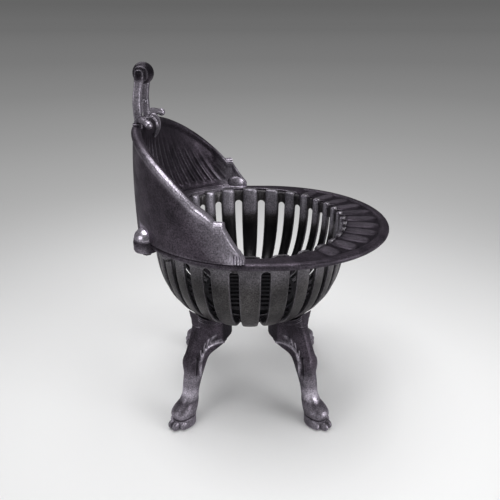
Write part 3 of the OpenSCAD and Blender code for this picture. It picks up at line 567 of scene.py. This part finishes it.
def makeHood(look):
    crest = hoodRise - look["crestDrop"]
    wingEnd = look["wingEnd"]
    toeStart, tip = wingEnd + look["wristSpan"], look["tip"]
    wing = np.concatenate([np.linspace(wingEnd + 0.05, wingEnd + 0.5, 3), np.linspace(wingEnd + 0.7, toeStart - 0.2, 12),
                           np.linspace(toeStart, toeStart + 0.5, 4), np.linspace(toeStart + 0.7, tip - 1.2, 36),
                           tip - 1.2 * np.cos(np.linspace(0.2, 1.45, 9))])
    degrees = np.concatenate([-wing[::-1], np.linspace(-wingEnd, wingEnd, look["flutes"] * 14 + 1), wing])
    size = abs(degrees)
    top = np.where(size <= wingEnd, crest * (1 - (np.minimum(size, look["span"]) / look["span"]) ** look["fall"]), 0)
    top = np.where((size > wingEnd) & (size < toeStart), look["stepHigh"], top)
    slope = look["toeHigh"] + look["toeDrop"] * (1 - np.clip((size - toeStart) / (tip - toeStart), 0, 1)) ** 1.15
    top = np.where(size >= toeStart, slope + (look["stepHigh"] - slope) * (1 - ease(size, toeStart, toeStart + 0.5)), top)
    top = top[:, None]
    scale = np.minimum(1, top / 44)
    half, middle = look["edge"] / 2, look["wall"] / 2
    wrist = (ease(size, wingEnd - 0.3, wingEnd + 0.5) * (1 - ease(size, toeStart - 0.3, toeStart + 0.3)))[:, None]
    foot = ease(size, toeStart - 0.3, toeStart + 2.5)[:, None]
    share = np.linspace(0, 1, 22)[None, :-1]
    blend = np.linspace(0, 1, 9)[None, :]
    arc = np.linspace(0, np.pi, 15)[None, 1:-1]
    swell = 0.5 - 0.5 * np.cos(np.pi * blend)
    outer = np.concatenate([0 * (top * share), (middle - half) * swell + 0 * top], 1)
    outerHigh = np.concatenate([share * (top - 17 * scale), top - (17 - 11 * blend) * scale], 1)
    roll = middle - half * np.cos(arc) + 0 * top
    rollHigh = top - 6 * scale + 6 * scale * np.sin(arc)
    inner = look["wall"] + (half - middle) * swell[:, ::-1] + 0 * top
    innerHigh = top - (6 + 12 * blend) * scale
    down = np.linspace(0, 1, 36)[None, 1:]
    low = look["fluteFoot"] * scale
    webHigh = (top - 18 * scale) + down * (low - top + 18 * scale)
    cell = (degrees[:, None] * (1 + look["fan"] * webHigh / hoodRise) + wingEnd) / (2 * wingEnd) * look["flutes"]
    across = abs(2 * (cell - np.floor(cell)) - 1)
    end = top - look["fluteTop"]
    channel = (1 - across ** 2) * ease(end - webHigh, 0, look["fluteFade"]) * ease(webHigh, low, low + 5)
    web = look["wall"] - look["fluteDepth"] * channel * (size < wingEnd)[:, None]
    reach = look["footReach"]
    cove = np.array([[look["wall"] + 1, 0.72], [look["wall"] + 3, 0.45], [look["wall"] + 6, 0.3], [reach - 1, 0.22],
                     [reach, 0.12], [reach, 0.0]])
    cove, coveHigh = cove[None, :, 0] + 0 * top, cove[None, :, 1] * low
    depth = np.concatenate([outer, roll, inner, web, cove], 1)
    height = np.concatenate([outerHigh, rollHigh, innerHigh, webHigh, coveHigh], 1)
    columns = outer.shape[1] + roll.shape[1]
    outside = np.zeros(depth.shape[1])
    outside[:columns] = 1
    outside[columns:columns + inner.shape[1] + web.shape[1]] = -1
    below = top - height
    bands = 0.5 + 0.5 * np.cos(2 * np.pi * np.clip(below / 15, 0, 1) * look["wristBands"])
    cuff = wrist * (1 - ease(below, 14, 18)) * (0.45 + 0.55 * bands) * look["wristSwell"]
    paw = look["shoulder"] * foot * np.sin(np.pi * np.clip(height / np.maximum(top, 1), 0, 1)) ** 0.7
    step = 1.2
    lobes = abs(np.sin(np.pi * np.clip(tip - size, 0, look["toes"] * step) / step))[:, None] ** 0.6
    near = (size > tip - look["toes"] * step)[:, None]
    gaps = look["toeGap"] * (1 - lobes) * near * (1 - ease(height, 12, 17)) * (outside > 0)
    depth = depth - outside * (cuff + paw * 0.8)
    nose = np.sqrt(np.clip(1 - np.clip((size - tip + 2.2) / 2.3, 0, 1) ** 2, 0.03, 1))[:, None]
    core = middle + 2
    depth = core + (depth - core) * nose
    angle = np.radians(degrees)[:, None]
    radius = hoodRadius(angle, height, look) - depth
    radius = np.minimum(radius, (hoodHigh[0] - 0.1) / np.maximum(abs(np.sin(angle)), 0.5)) - gaps
    shells = [gridShell(np.stack([radius * np.sin(angle), radius * np.cos(angle), rimTop + height], -1))]
    bend = np.radians(np.linspace(-look["rollSpan"], look["rollSpan"], 200))
    ends = np.sqrt(np.clip(1 - np.clip((abs(bend) - bend[-1] + 0.035) / 0.035, 0, 1) ** 2, 0.02, 1))[:, None]
    turn = np.linspace(0, 2 * np.pi, 20, endpoint=False)[None, :]
    wide = look["rollRadius"]
    path = hoodFoot - reach + wide + 0.3 + wide * ends * np.cos(turn)
    shells.append(gridShell(np.stack([path * np.sin(bend)[:, None], path * np.cos(bend)[:, None],
                                      rimTop + 2.2 + wide * 0.9 * ends * np.sin(turn)], -1)))
    ball = look["domeRadius"]
    arc = np.linspace(0, np.pi / 2 - 0.02, 20)
    profile = [(0.2, 0.05), (ball - 0.6, 0.05), (ball, 0.7), (ball, 2.2), (ball - 1.3, 3.2)]
    profile += [((ball - 0.8) * math.cos(a), 3.0 + (ball - 3.0) * math.sin(a)) for a in arc]
    for side in (-1, 1):
        turn = math.radians(180 + side * rimLook["domeAngle"])
        dome = turned([(r, rimTop + z) for r, z in profile], 64, rimLook["domeDistance"] * math.sin(turn),
                      -rimLook["domeDistance"] * math.cos(turn))
        shells.append(keptOutside(hoodFoot - middle, dome))
    for side in (-1, 1):
        turn = side * math.radians(look["padAngle"])
        spot = ((hoodFoot - 11) * math.sin(turn), (hoodFoot - 11) * math.cos(turn), rimTop + 8)
        shells.append(lump(spot, look["padHalves"], power=2.2, turn=-turn, steps=48))
    edgeRadius = hoodRadius(0.0, crest, look) - middle
    for x, wide in ((-look["stileSpan"] / 2, 7.5), (look["stileSpan"] / 2, 7.5), (0, 12.5)):
        y = math.sqrt(edgeRadius ** 2 - x * x)
        shells.append(lump((x, y, hoodTop - 4.2), (wide, half, 4.2), power=7, turn=-x / edgeRadius))
    halfway = degrees >= 0
    domeTurn = math.radians(rimLook["domeAngle"])

    # Painted highlight on the wings' rolled edge, on the paws and their noses, in streaks on the flutes inside and on
    # the domes; painted shade over the inner face and low on the outer face near the wings' ends
    def polishHighlightAndShade(x, y, z):
        around, above = np.degrees(np.arctan2(abs(x), y)), z - rimTop
        away = np.hypot(x, y)
        outward = ease(away - hoodRadius(np.radians(around), above, look) + middle, -1, 1)
        below = np.interp(around, degrees[halfway], top[halfway, 0]) - above
        edge = 0.75 * outward * (1 - ease(below, 5, 20)) * ease(around, 30, 62)
        paw = 0.7 * ease(around + 0.12 * above, 68, 90) + 0.3 * ease(around, 80, 86) - 0.3 * outward * (1 - ease(above, 0, 5)) * ease(around, 60, 70)
        streaks = 0.25 * (1 - outward) * ease(around, 35, 66) * ease(below, 20, 40)
        inside = (1 - outward) * (1 - ease(around, 60, 76)) * (0.35 + 0.2 * (1 - ease(above, 13, 17)))
        fromDome = np.hypot(abs(x) - rimLook["domeDistance"] * math.sin(domeTurn),
                            y - rimLook["domeDistance"] * math.cos(domeTurn))
        domes = (fromDome < ball + 0.5) * (away > hoodFoot) * ease(above, 2.6, 3.4) * (above < ball + 1)
        return np.max([edge, paw, streaks, domes], 0) - inside

    return makePiece("backHood", shells, ["hood"], polishHighlightAndShade=polishHighlightAndShade)


makeHood(hoodLook)


# A smooth line through given rows: each column is a Catmull-Rom curve, read at even steps
def smoothRows(rows, count):
    rows = np.asarray(rows, float)
    at = np.linspace(0, len(rows) - 1, count)
    i = np.minimum(at.astype(int), len(rows) - 2)
    f = (at - i)[:, None]
    a, b, c, d = rows[np.maximum(i - 1, 0)], rows[i], rows[i + 1], rows[np.minimum(i + 2, len(rows) - 1)]
    return 0.5 * (2 * b + f * (c - a) + f ** 2 * (2 * a - 5 * b + 4 * c - d) + f ** 3 * (3 * b - a - 3 * c + d))


# A bar along smooth rows of x, y, z, half width and half height: superelliptic rings square to the path, whose
# width lies across the path and the up direction, with ends rounded by a quarter circle over so many rows
def bar(rows, up, count=120, sides=40, power=2.0, rounding=8, relief=None):
    rows = smoothRows(rows, count)
    line = rows[:, :3]
    along = np.gradient(line, axis=0)
    along /= np.linalg.norm(along, axis=1)[:, None]
    across = np.cross(along, up)
    across /= np.linalg.norm(across, axis=1)[:, None]
    lift = np.cross(across, along)
    toEnd = np.minimum(np.arange(count), np.arange(count)[::-1])
    cap = np.sqrt(np.clip(1 - np.clip(1 - toEnd / rounding, 0, 1) ** 2, 0.01, 1))
    turn = np.linspace(0, 2 * np.pi, sides, endpoint=False)
    c, q = (np.sign(v) * abs(v) ** (2 / power) for v in (np.cos(turn), np.sin(turn)))
    wide = c * (rows[:, 3] * cap)[:, None]
    high = q * (rows[:, 4] * cap)[:, None]
    if relief is not None:
        high = high * relief(c, np.linspace(0, 1, count)[:, None])
    return gridShell(line[:, None] + across[:, None] * wide[..., None] + lift[:, None] * high[..., None])


# The handle: two stiles that lean forward to a turned grip, and feet that splay out to knobs inside the hood
handleLook = dict(
    stileSpan=64.0, knobSpan=119.0, stileWide=7.0, gripRadius=16.0, groove=0.22, stilePolishAndHighlight=0.5, armPolishAndHighlight=0.45,
    # along a stile: before its foot's middle, over the hood's edge, half thickness
    stile=((0.2, 0.2, 3.6), (0.0, 4, 5.0), (0.1, 10, 5.9), (0, 20, 6.0), (0, 31, 6.0), (-1.6, 42, 5.9),
           (-4.0, 54, 5.8), (-6.3, 64, 6.9), (-7, 70, 7.6), (-7.1, 75, 6.2), (-7.2, 77.6, 2.0)),
    # the grip's half outline, as shares of its radius and of the distance to a stile
    turning=((0.46, 0.82), (0.5, 0.8), (0.6, 0.785), (0.66, 0.765), (0.71, 0.74), (0.73, 0.705), (0.71, 0.67),
             (0.655, 0.65), (0.6, 0.635), (0.585, 0.61), (0.6, 0.59), (0.66, 0.58), (0.68, 0.565), (0.67, 0.55),
             (0.69, 0.535), (0.76, 0.47), (0.83, 0.4), (0.885, 0.33), (0.93, 0.25), (0.965, 0.17), (0.99, 0.08),
             (1.0, 0.0)),
    eye=4.0, heelRadius=6.2, armRadius=5.5, knobRadius=6.1)


def makeHandle(look):
    edgeRadius = hoodRadius(0.0, hoodRise - hoodLook["crestDrop"], hoodLook) - hoodLook["wall"] / 2
    half = look["stileSpan"] / 2
    stileY = math.sqrt(edgeRadius ** 2 - half ** 2) - 1.8
    gripY, gripZ = stileY - 7, handleHigh[2] - look["gripRadius"]
    knobX = look["knobSpan"] / 2
    knobY = math.sqrt(edgeRadius ** 2 - knobX ** 2) - hoodLook["edge"] / 2 - 7.2

    def grooves(across, share):
        line = np.exp(-((across - 0.3) / 0.16) ** 2) + np.exp(-((across + 0.35) / 0.2) ** 2)
        return 1 - look["groove"] * line * ease(share, 0.12, 0.2) * (1 - ease(share, 0.78, 0.86))

    def aroundGrip(profile, steps=72):
        profile = np.asarray(profile, float)
        turn = np.linspace(0, 2 * np.pi, steps, endpoint=False)[:, None]
        return gridShell(np.stack([np.broadcast_to(profile[:, 1], (steps, len(profile))),
                                   gripY + profile[:, 0] * np.cos(turn),
                                   gripZ + profile[:, 0] * np.sin(turn)], -1), closeRows=True)

    outline = [(r * look["gripRadius"], -x * half) for r, x in look["turning"]]
    outline = [(0.1, -0.82 * half)] + outline
    shells = [aroundGrip(outline + [(r, -x) for r, x in outline[-2::-1]])]
    for side in (-1, 1):
        x = side * half
        rows = [(x, stileY + y, hoodTop + z, thick, look["stileWide"] - 0.4) for y, z, thick in look["stile"]]
        shells.append(bar(rows, (1.0, 0.0, 0.0), power=4.5, relief=grooves))
        heel = (x, stileY - 2, hoodTop + look["heelRadius"] + 0.2)
        shells.append(bar([(x - side, heel[1] + 5, heel[2] + 1.5, 3.8, 4.2),
                           (x + side * 1.5, heel[1] + 1, heel[2] + 0.2, 5.8, 5.9),
                           (x + side * 7, heel[1] - 3.2, heel[2] - 0.2, 5.7, 5.7),
                           ((x + side * knobX) / 2, stileY - 9, hoodTop + 6, 5.4, 5.4),
                           (side * (knobX - 6), knobY + 4.6, hoodTop + 4, 4.9, 4.9),
                           (side * (knobX - 1.5), knobY + 1.2, hoodTop + 2.6, 5.4, 5.4)], (0.0, 0.0, 1.0), count=70))
        shells.append(lump((side * knobX, knobY, hoodTop + 2), [look["knobRadius"]] * 3))
        shells.append(lump((x - side * 6.4, stileY + 0.4, hoodTop + 24), (2.4, look["eye"], look["eye"])))

    # Polish and painted highlight on the stiles and on the feet and knobs; painted shade at the stiles' tops and the
    # grip
    def polishHighlightAndShade(x, y, z):
        onStile = 1 - ease(abs(abs(x) - half), 8, 10)
        return (look["stilePolishAndHighlight"] * onStile * ease(z, hoodTop + 4, hoodTop + 16) * (1 - ease(z, hoodTop + 56, hoodTop + 66))
                + look["armPolishAndHighlight"] * (1 - ease(z, hoodTop + 9, hoodTop + 14)) - 0.8 * ease(z, hoodTop + 62, hoodTop + 70))

    return makePiece("gripHandle", shells, ["handle"], polishHighlightAndShade=polishHighlightAndShade, edgeWearAndHighlightMost=0.6)


makeHandle(handleLook)


# The leaf: an arched blade with a midrib and curled lobes that droops from the hood's edge inside
leafLook = dict(
    thick=3.6, lobes=4, lobeDepth=0.07, arch=2.6, rib=1.5, curl=2.4, vein=0.25,
    # along the leaf: in front of the hood's edge, over its top, half width
    route=((-6.0, 2.6, 10.5), (2.0, 3.0, 11.0), (9.0, 4.4, 12.2), (16.0, 6.6, 13.6), (22.5, 6.0, 14.6),
           (27.6, 1.2, 14.8), (29.4, -5.0, 14.2), (28.9, -11.5, 12.6), (26.4, -18.0, 9.6), (22.6, -23.4, 5.6),
           (20.2, -26.0, 3.0)))


def makeLeaf(look):
    edgeRadius = hoodRadius(0.0, hoodRise - hoodLook["crestDrop"], hoodLook) - hoodLook["wall"] / 2
    count = 110
    rows = smoothRows(look["route"], count)
    line, wide = rows[:, :2], rows[:, 2]
    along = np.gradient(line, axis=0)
    along /= np.linalg.norm(along, axis=1)[:, None]
    normal = np.stack([-along[:, 1], along[:, 0]], 1)
    run = np.linspace(0, 1, count)[:, None]
    fade = ease(run, 0.12, 0.3)
    across = np.linspace(-1, 1, 31)[None, :]
    notch = 1 - look["lobeDepth"] * fade * abs(np.cos(np.pi * look["lobes"] * run)) ** 3
    crown = (look["arch"] * (1 - across ** 2) + look["rib"] * np.exp(-(across / 0.09) ** 2)
             + look["curl"] * np.exp(-((abs(across) - 0.88) / 0.13) ** 2)
             + look["vein"] * np.cos(2 * np.pi * (look["lobes"] * run - 0.8 * abs(across))) * abs(across) * fade) * fade
    upper = look["thick"] / 2 * (1 - abs(across) ** 6) + crown - look["arch"]
    lower = -look["thick"] / 2 * (1 - abs(across) ** 6) + crown * 0.6 - look["arch"]
    side = np.concatenate([np.broadcast_to(across, upper.shape), np.broadcast_to(across[:, ::-1], upper.shape)], 1)
    lift = np.concatenate([upper, lower[:, ::-1]], 1)
    x = side * wide[:, None] * notch
    y = edgeRadius - line[:, None, 0] - normal[:, None, 0] * lift
    z = hoodTop + line[:, None, 1] + normal[:, None, 1] * lift
    shells = [gridShell(np.stack([x, y, z], -1)),
              lump((0, edgeRadius - 21.8, hoodTop - 24.4), (3.8, 3.2, 4.2))]
    # A flat share of polish and painted highlight over the whole leaf
    return makePiece("crestLeafCast", shells, ["crest_leaf"], polishHighlightAndShade=lambda x, y, z: 0.3 + 0 * z)


makeLeaf(leafLook)


# A leg: level rings, wide and flat where they meet the bowl, with a leaf carved on each flank and a paw
legLook = dict(
    # height, distance of the ring's middle, half depth and half width of the shank
    shank=((0, 165, 18.4, 16.8), (2, 165, 19.6, 18), (6, 165.4, 20.4, 18.6), (14, 165.6, 20.8, 18.6),
           (22, 165.4, 22.2, 18.2), (30, 163.6, 24.4, 17.8), (37, 160.5, 23.4, 16.9), (45, 154.8, 19.6, 15.2),
           (54, 150.2, 15.2, 14.1), (62, 147.8, 14.2, 13.9), (70, 146.4, 14.5, 13.9), (82, 143.4, 16.2, 14),
           (92, 140.4, 17.8, 14), (102, 137.5, 19.4, 14), (119, 136, 20.4, 14), (130, 127, 26.9, 14),
           (139, 120, 29.8, 13), (166, 114, 25.4, 12), (186, 108.5, 24.4, 12), (214, 108, 24.9, 12)),
    # height and distance of the bracket's inner end, down from the bowl
    bracket=((215, 52), (146, 52), (142.5, 54), (139.5, 60), (138.6, 64), (135.4, 65.5), (134.4, 71), (132.6, 74),
             (131, 84), (129.6, 95), (127.4, 103.5), (124, 109), (119.5, 112.6), (113, 115.2), (102, 118)),
    bracketHalf=12.0, gap=0.4, bandLow=13.0, bandHigh=2.0, ridgeHigh=3.0, veinHigh=2.0, hollowDeep=1.5,
    ridge=((134.4, 94), (135.4, 108), (134.4, 120), (131.6, 129.5), (126.5, 137), (120, 141.6), (110, 144.2),
           (97, 143.6), (86, 140.6), (79, 136.6)),
    veins=(((134.2, 127), (130.8, 143)), ((126, 139.5), (121, 153)), ((118.5, 145), (112, 157)),
           ((110, 147), (103.5, 158)), ((101, 147.6), (95.5, 156))),
    shade=((124, 147), (130, 138), (138.6, 131), (140.5, 118), (142, 102)),
    toes=((-12.8, -0.4), (-4.5, 11.6), (4.5, 11.6), (12.8, -0.4)), toeMiddle=172.0, toeHalves=(13.2, 5.5, 8.8))


# Least distance from points to a line of straight pieces, and how far along the line it falls
def nearLine(x, y, line):
    best, where, run = np.full(x.shape, 1e9), np.zeros(x.shape), 0.0
    for (ax, ay), (bx, by) in zip(line[:-1], line[1:]):
        dx, dy = bx - ax, by - ay
        length = math.hypot(dx, dy)
        share = np.clip(((x - ax) * dx + (y - ay) * dy) / length ** 2, 0, 1)
        distance = np.hypot(x - ax - share * dx, y - ay - share * dy)
        where = np.where(distance < best, run + share * length, where)
        best = np.minimum(best, distance)
        run += length
    return best, where / run


def makeLeg(name, node, degrees, look):
    rows = smoothRows(look["shank"], 500)
    legTop = rimUnder - 124.0
    height = np.concatenate([np.linspace(0, 6, 12), np.linspace(7, 95, 110), np.linspace(95.6, 125.5, 56),
                             np.linspace(126, 140, 70), np.linspace(140.4, 147, 20), np.linspace(148, bowlBottom, 48),
                             np.linspace(bowlBottom + 0.05, legTop, 36)])
    middle, half, wide = (np.interp(height, rows[:, 0], rows[:, k]) for k in (1, 2, 3))
    bracket = np.array(look["bracket"])[::-1]
    side = bowlSide(bowlLook)[::-1]
    rising = side[:, 1] > bowlBottom + 0.02
    shell = np.interp(height, side[rising, 1], side[rising, 0]) + look["gap"]
    inner = middle - half
    inner = np.where(height > bracket[0, 0], np.minimum(inner, np.interp(height, bracket[:, 0], bracket[:, 1])), inner)
    outer = np.maximum(middle + half, inner + 1)
    under = height > bowlBottom
    inner = np.where(under, np.maximum(inner, shell), inner)
    outer = np.where(under, np.maximum(outer, inner + 0.6), outer)
    middle, half = (inner + outer) / 2, (outer - inner) / 2
    flat = ease(height, 98, 128)
    wide = wide + (look["bracketHalf"] - wide) * ease(height, 128, 168)
    power = 2.25 + 1.9 * flat
    turn, _ = evenly(np.stack([2.3 * np.cos(np.linspace(0, 2 * np.pi, 721)), np.sin(np.linspace(0, 2 * np.pi, 721))], 1), 151)
    angle = np.arctan2(turn[:-1, 1], turn[:-1, 0] / 2.3)[None, :]

    def part(value):
        return np.sign(value) * abs(value) ** (2 / power[:, None])

    r = middle[:, None] + half[:, None] * part(np.cos(angle))
    t = wide[:, None] * part(np.sin(angle))
    z = np.broadcast_to(height[:, None], r.shape)
    onFlank = ease(abs(part(np.sin(angle))), 0.5, 0.85)
    distance, share = nearLine(r, z, look["ridge"])
    swell = np.exp(-(distance / 2.5) ** 2) * (0.35 + 0.65 * ease(share, 0, 0.2)) * look["ridgeHigh"]
    hollow = np.zeros_like(r)
    for vein in look["veins"]:
        distance, share = nearLine(r, z, vein)
        swell = swell + look["veinHigh"] * np.exp(-(distance / 1.5) ** 2) * (1 - 0.5 * share)
        hollow = np.maximum(hollow, np.exp(-((distance - 3.0) / 1.3) ** 2) * (1 - share))
    distance, share = nearLine(r, z, ((138.6, 132), (140.5, 118), (142, 102), (143.5, 84)))
    hollow = np.maximum(hollow, 1.5 * np.exp(-(distance / 2.4) ** 2) * (1 - ease(share, 0.8, 1)))
    swell = swell - look["hollowDeep"] * hollow
    below = np.interp(r, side[:, 0], side[:, 1]) - z
    band = ease(below, look["bandHigh"] - 1, look["bandHigh"]) * (1 - ease(below, look["bandLow"], look["bandLow"] + 1))
    swell = swell + band * (0.9 + 0.35 * np.cos(below * 1.7)) * ease(r, 76, 84)
    t = t + np.sign(np.sin(angle)) * onFlank * swell
    around = np.degrees(np.arctan2(t, r - middle[:, None]))
    crease = -1.5 * np.exp(-((z - 21) / 2.2) ** 2) * (1 - ease(abs(around), 90, 140))
    pad = 1.0 * np.exp(-((z - 31) / 6) ** 2) * (1 - ease(abs(around), 60, 120))
    ankle = -1.2 * np.exp(-((z - 47) / 3.5) ** 2) * (1 - ease(abs(around), 60, 130))
    push = (crease + pad + ankle) / np.maximum(np.hypot(r - middle[:, None], t), 1)
    r = r + (r - middle[:, None]) * push
    t = t + t * push
    direction = math.radians(degrees)
    x = r * math.cos(direction) - t * math.sin(direction)
    y = r * math.sin(direction) + t * math.cos(direction)
    shells = [gridShell(np.stack([x, y, z], -1))]
    for aside, reach in look["toes"]:
        turn = direction + aside / 90
        out = look["toeMiddle"] + reach
        spot = (out * math.cos(direction) - aside * math.sin(direction),
                out * math.sin(direction) + aside * math.cos(direction), look["toeHalves"][2] + 0.1)
        shells.append(lump(spot, look["toeHalves"], power=2.3, turn=turn, steps=56))

    # Painted highlight on the carved ridge and veins, the ankle, the knuckle and the lower leg; painted shade along the
    # shade line, in the creases at the toes and the ankle, and on the bracket's end and top under the bowl
    def polishHighlightAndShade(x, y, z):
        out = x * math.cos(direction) + y * math.sin(direction)
        carved = [0.95 * np.exp(-(nearLine(out, z, look["ridge"])[0] / 3.2) ** 2)]
        carved += [0.8 * np.exp(-(nearLine(out, z, vein)[0] / 1.7) ** 2) for vein in look["veins"]]
        paintedShade = 0.7 * np.exp(-(nearLine(out, z, look["shade"])[0] / 4.5) ** 2) + 0.8 * np.exp(-((z - 20.5) / 1.6) ** 2)
        paintedShade = paintedShade + 0.25 * np.exp(-((z - 46) / 4) ** 2)
        ankleHighlight = 0.9 * np.exp(-((z - 63) / 15) ** 2) + 0.5 * np.exp(-((z - 33) / 6) ** 2)
        lower = 0.3 * (1 - ease(z, 90, 120)) + 0.1 * (1 - ease(z, 24, 34))
        bright = np.max(carved + [ankleHighlight, lower], 0)
        top = 0.9 * (1 - ease(out, 76, 84)) * ease(z, 126, 132) + 0.4 * ease(z, legTop - 40, legTop - 10)
        return bright - paintedShade * (1 - bright) - top

    return makePiece(name, shells, [node], polishHighlightAndShade=polishHighlightAndShade)


for name, node, degrees in (("pawLegFrontLeft", "leg_front_left", -135), ("pawLegFrontRight", "leg_front_right", -45),
                            ("pawLegRearLeft", "leg_rear_left", 135), ("pawLegRearRight", "leg_rear_right", 45)):
    makeLeg(name, node, degrees, legLook)
print("all new pieces made")


# Camera at the photograph's place: left of the basket, looking to the right and down
def placeCamera(look):
    data = bpy.data.cameras.new("camera")
    data.lens = look["lens"]
    data.sensor_width = 36.0
    data.clip_end = 300.0
    camera = bpy.data.objects.new("camera", data)
    bpy.context.scene.collection.objects.link(camera)
    camera.location = (-look["distance"], axisY / 1000, look["height"])
    camera.rotation_euler = (math.radians(90 - look["pitch"]), 0.0, -math.pi / 2)
    bpy.context.scene.camera = camera


placeCamera(dict(lens=36.2, distance=0.811, height=0.656, pitch=24.49))


# Floor and studio lamps: a lit floor near the basket, which fades into a backdrop whose shade follows the
# distance from the middle and which only the camera and mirrored rays see
def makeFloor(look):
    size = look["size"]
    mesh = bpy.data.meshes.new("floor")
    mesh.from_pydata([(-size, -size, 0), (size, -size, 0), (size, size, 0), (-size, size, 0)], [], [(0, 1, 2, 3)])
    floor = bpy.data.objects.new("floor", mesh)
    bpy.context.scene.collection.objects.link(floor)
    material = bpy.data.materials.new("paleFloor")
    material.use_nodes = True
    tree = material.node_tree
    skin = tree.nodes["Principled BSDF"]
    place = addNode(tree, "ShaderNodeTexCoord").outputs["Object"]
    away = addNode(tree, "ShaderNodeVectorMath", {0: place}, operation="LENGTH")
    decades = addNode(tree, "ShaderNodeMath", {0: away.outputs["Value"], 1: 10.0}, operation="LOGARITHM")
    spread = addNode(tree, "ShaderNodeMapRange", {"Value": decades.outputs[0], "From Min": -1.0, "From Max": 2.0})

    def shadesByDistance(shades):
        ramp = addNode(tree, "ShaderNodeValToRGB", {"Fac": spread.outputs["Result"]})
        steps = ramp.color_ramp.elements
        for distance, shade in shades:
            at = (math.log10(distance) + 1) / 3
            step = steps[0] if distance == shades[0][0] else steps.new(at)
            step.position = at
            step.color = (shade, shade, shade, 1.0)
        steps.remove(steps[-1])
        return ramp.outputs["Color"]

    tree.links.new(shadesByDistance(look["lit"]), skin.inputs["Base Color"])
    skin.inputs["Roughness"].default_value = 0.9
    skin.inputs["Specular IOR Level"].default_value = 0.0
    glow = addNode(tree, "ShaderNodeEmission", {"Color": shadesByDistance(look["far"]), "Strength": 1.0})
    rays = addNode(tree, "ShaderNodeLightPath")
    seen = addNode(tree, "ShaderNodeMath", {0: rays.outputs["Is Camera Ray"], 1: rays.outputs["Is Glossy Ray"]},
                   operation="MAXIMUM")
    fade = addNode(tree, "ShaderNodeMapRange", {"Value": away.outputs["Value"], "From Min": look["fade"][0],
                                                "From Max": look["fade"][1]}, interpolation_type="SMOOTHSTEP")
    share = addNode(tree, "ShaderNodeMath", {0: seen.outputs[0], 1: fade.outputs["Result"]}, operation="MULTIPLY")
    blend = addNode(tree, "ShaderNodeMixShader", {0: share.outputs[0], 1: skin.outputs[0], 2: glow.outputs[0]})
    tree.links.new(blend.outputs[0], tree.nodes["Material Output"].inputs["Surface"])
    mesh.materials.append(material)


def addLamp(name, look):
    data = bpy.data.lights.new(name, "AREA")
    data.shape = "RECTANGLE"
    data.size, data.size_y = look["size"]
    data.energy = look["energy"]
    data.color = look.get("colour", (1.0, 1.0, 1.0))
    lamp = bpy.data.objects.new(name, data)
    bpy.context.scene.collection.objects.link(lamp)
    lamp.location = look["place"]
    aim = Vector(look["aim"]) - Vector(look["place"])
    lamp.rotation_euler = aim.to_track_quat("-Z", "Y").to_euler()


makeFloor(dict(size=90.0, fade=(0.6, 1.5), lit=((0.28, 0.9), (0.45, 0.8), (0.63, 0.75), (1.0, 0.7)),
               far=((0.63, 0.597), (1.0, 0.503), (1.56, 0.407), (2.54, 0.319), (4.66, 0.238), (9.07, 0.191),
                    (42.7, 0.153))))
addLamp("keyLamp", dict(place=(-0.9, -1.4, 0.6), aim=(0, 0, 0.3), size=(1.0, 1.0), energy=17.0))
addLamp("topLamp", dict(place=(-0.05, 0.12, 2.0), aim=(0, 0, 0.3), size=(1.4, 1.4), energy=33.0))
addLamp("fillLamp", dict(place=(-1.2, 1.4, 0.9), aim=(0, 0, 0.25), size=(0.9, 0.9), energy=7.0))
addLamp("backLamp", dict(place=(1.3, 0.6, 1.4), aim=(0, 0, 0.35), size=(0.9, 0.6), energy=3.0))
world = bpy.data.worlds.new("studio")
bpy.context.scene.world = world
world.use_nodes = True
sky = world.node_tree
light = sky.nodes["Background"]
light.inputs["Color"].default_value = colour((0.14, 0.14, 0.145))
looking = addNode(sky, "ShaderNodeSeparateXYZ", {0: addNode(sky, "ShaderNodeTexCoord").outputs["Generated"]})
shade = addNode(sky, "ShaderNodeMapRange", {"Value": looking.outputs["Z"], "From Max": 0.026, "To Min": 0.15,
                                            "To Max": 0.129})
backdrop = addNode(sky, "ShaderNodeBackground", {"Color": shade.outputs["Result"], "Strength": 1.0})
rays = addNode(sky, "ShaderNodeLightPath")
seen = addNode(sky, "ShaderNodeMath", {0: rays.outputs["Is Camera Ray"], 1: rays.outputs["Is Glossy Ray"]},
               operation="MAXIMUM")
choice = addNode(sky, "ShaderNodeMixShader", {0: seen.outputs[0], 1: light.outputs[0], 2: backdrop.outputs[0]})
sky.links.new(choice.outputs[0], sky.nodes["World Output"].inputs["Surface"])
bpy.context.scene.view_settings.view_transform = "Standard"
print("stage set")
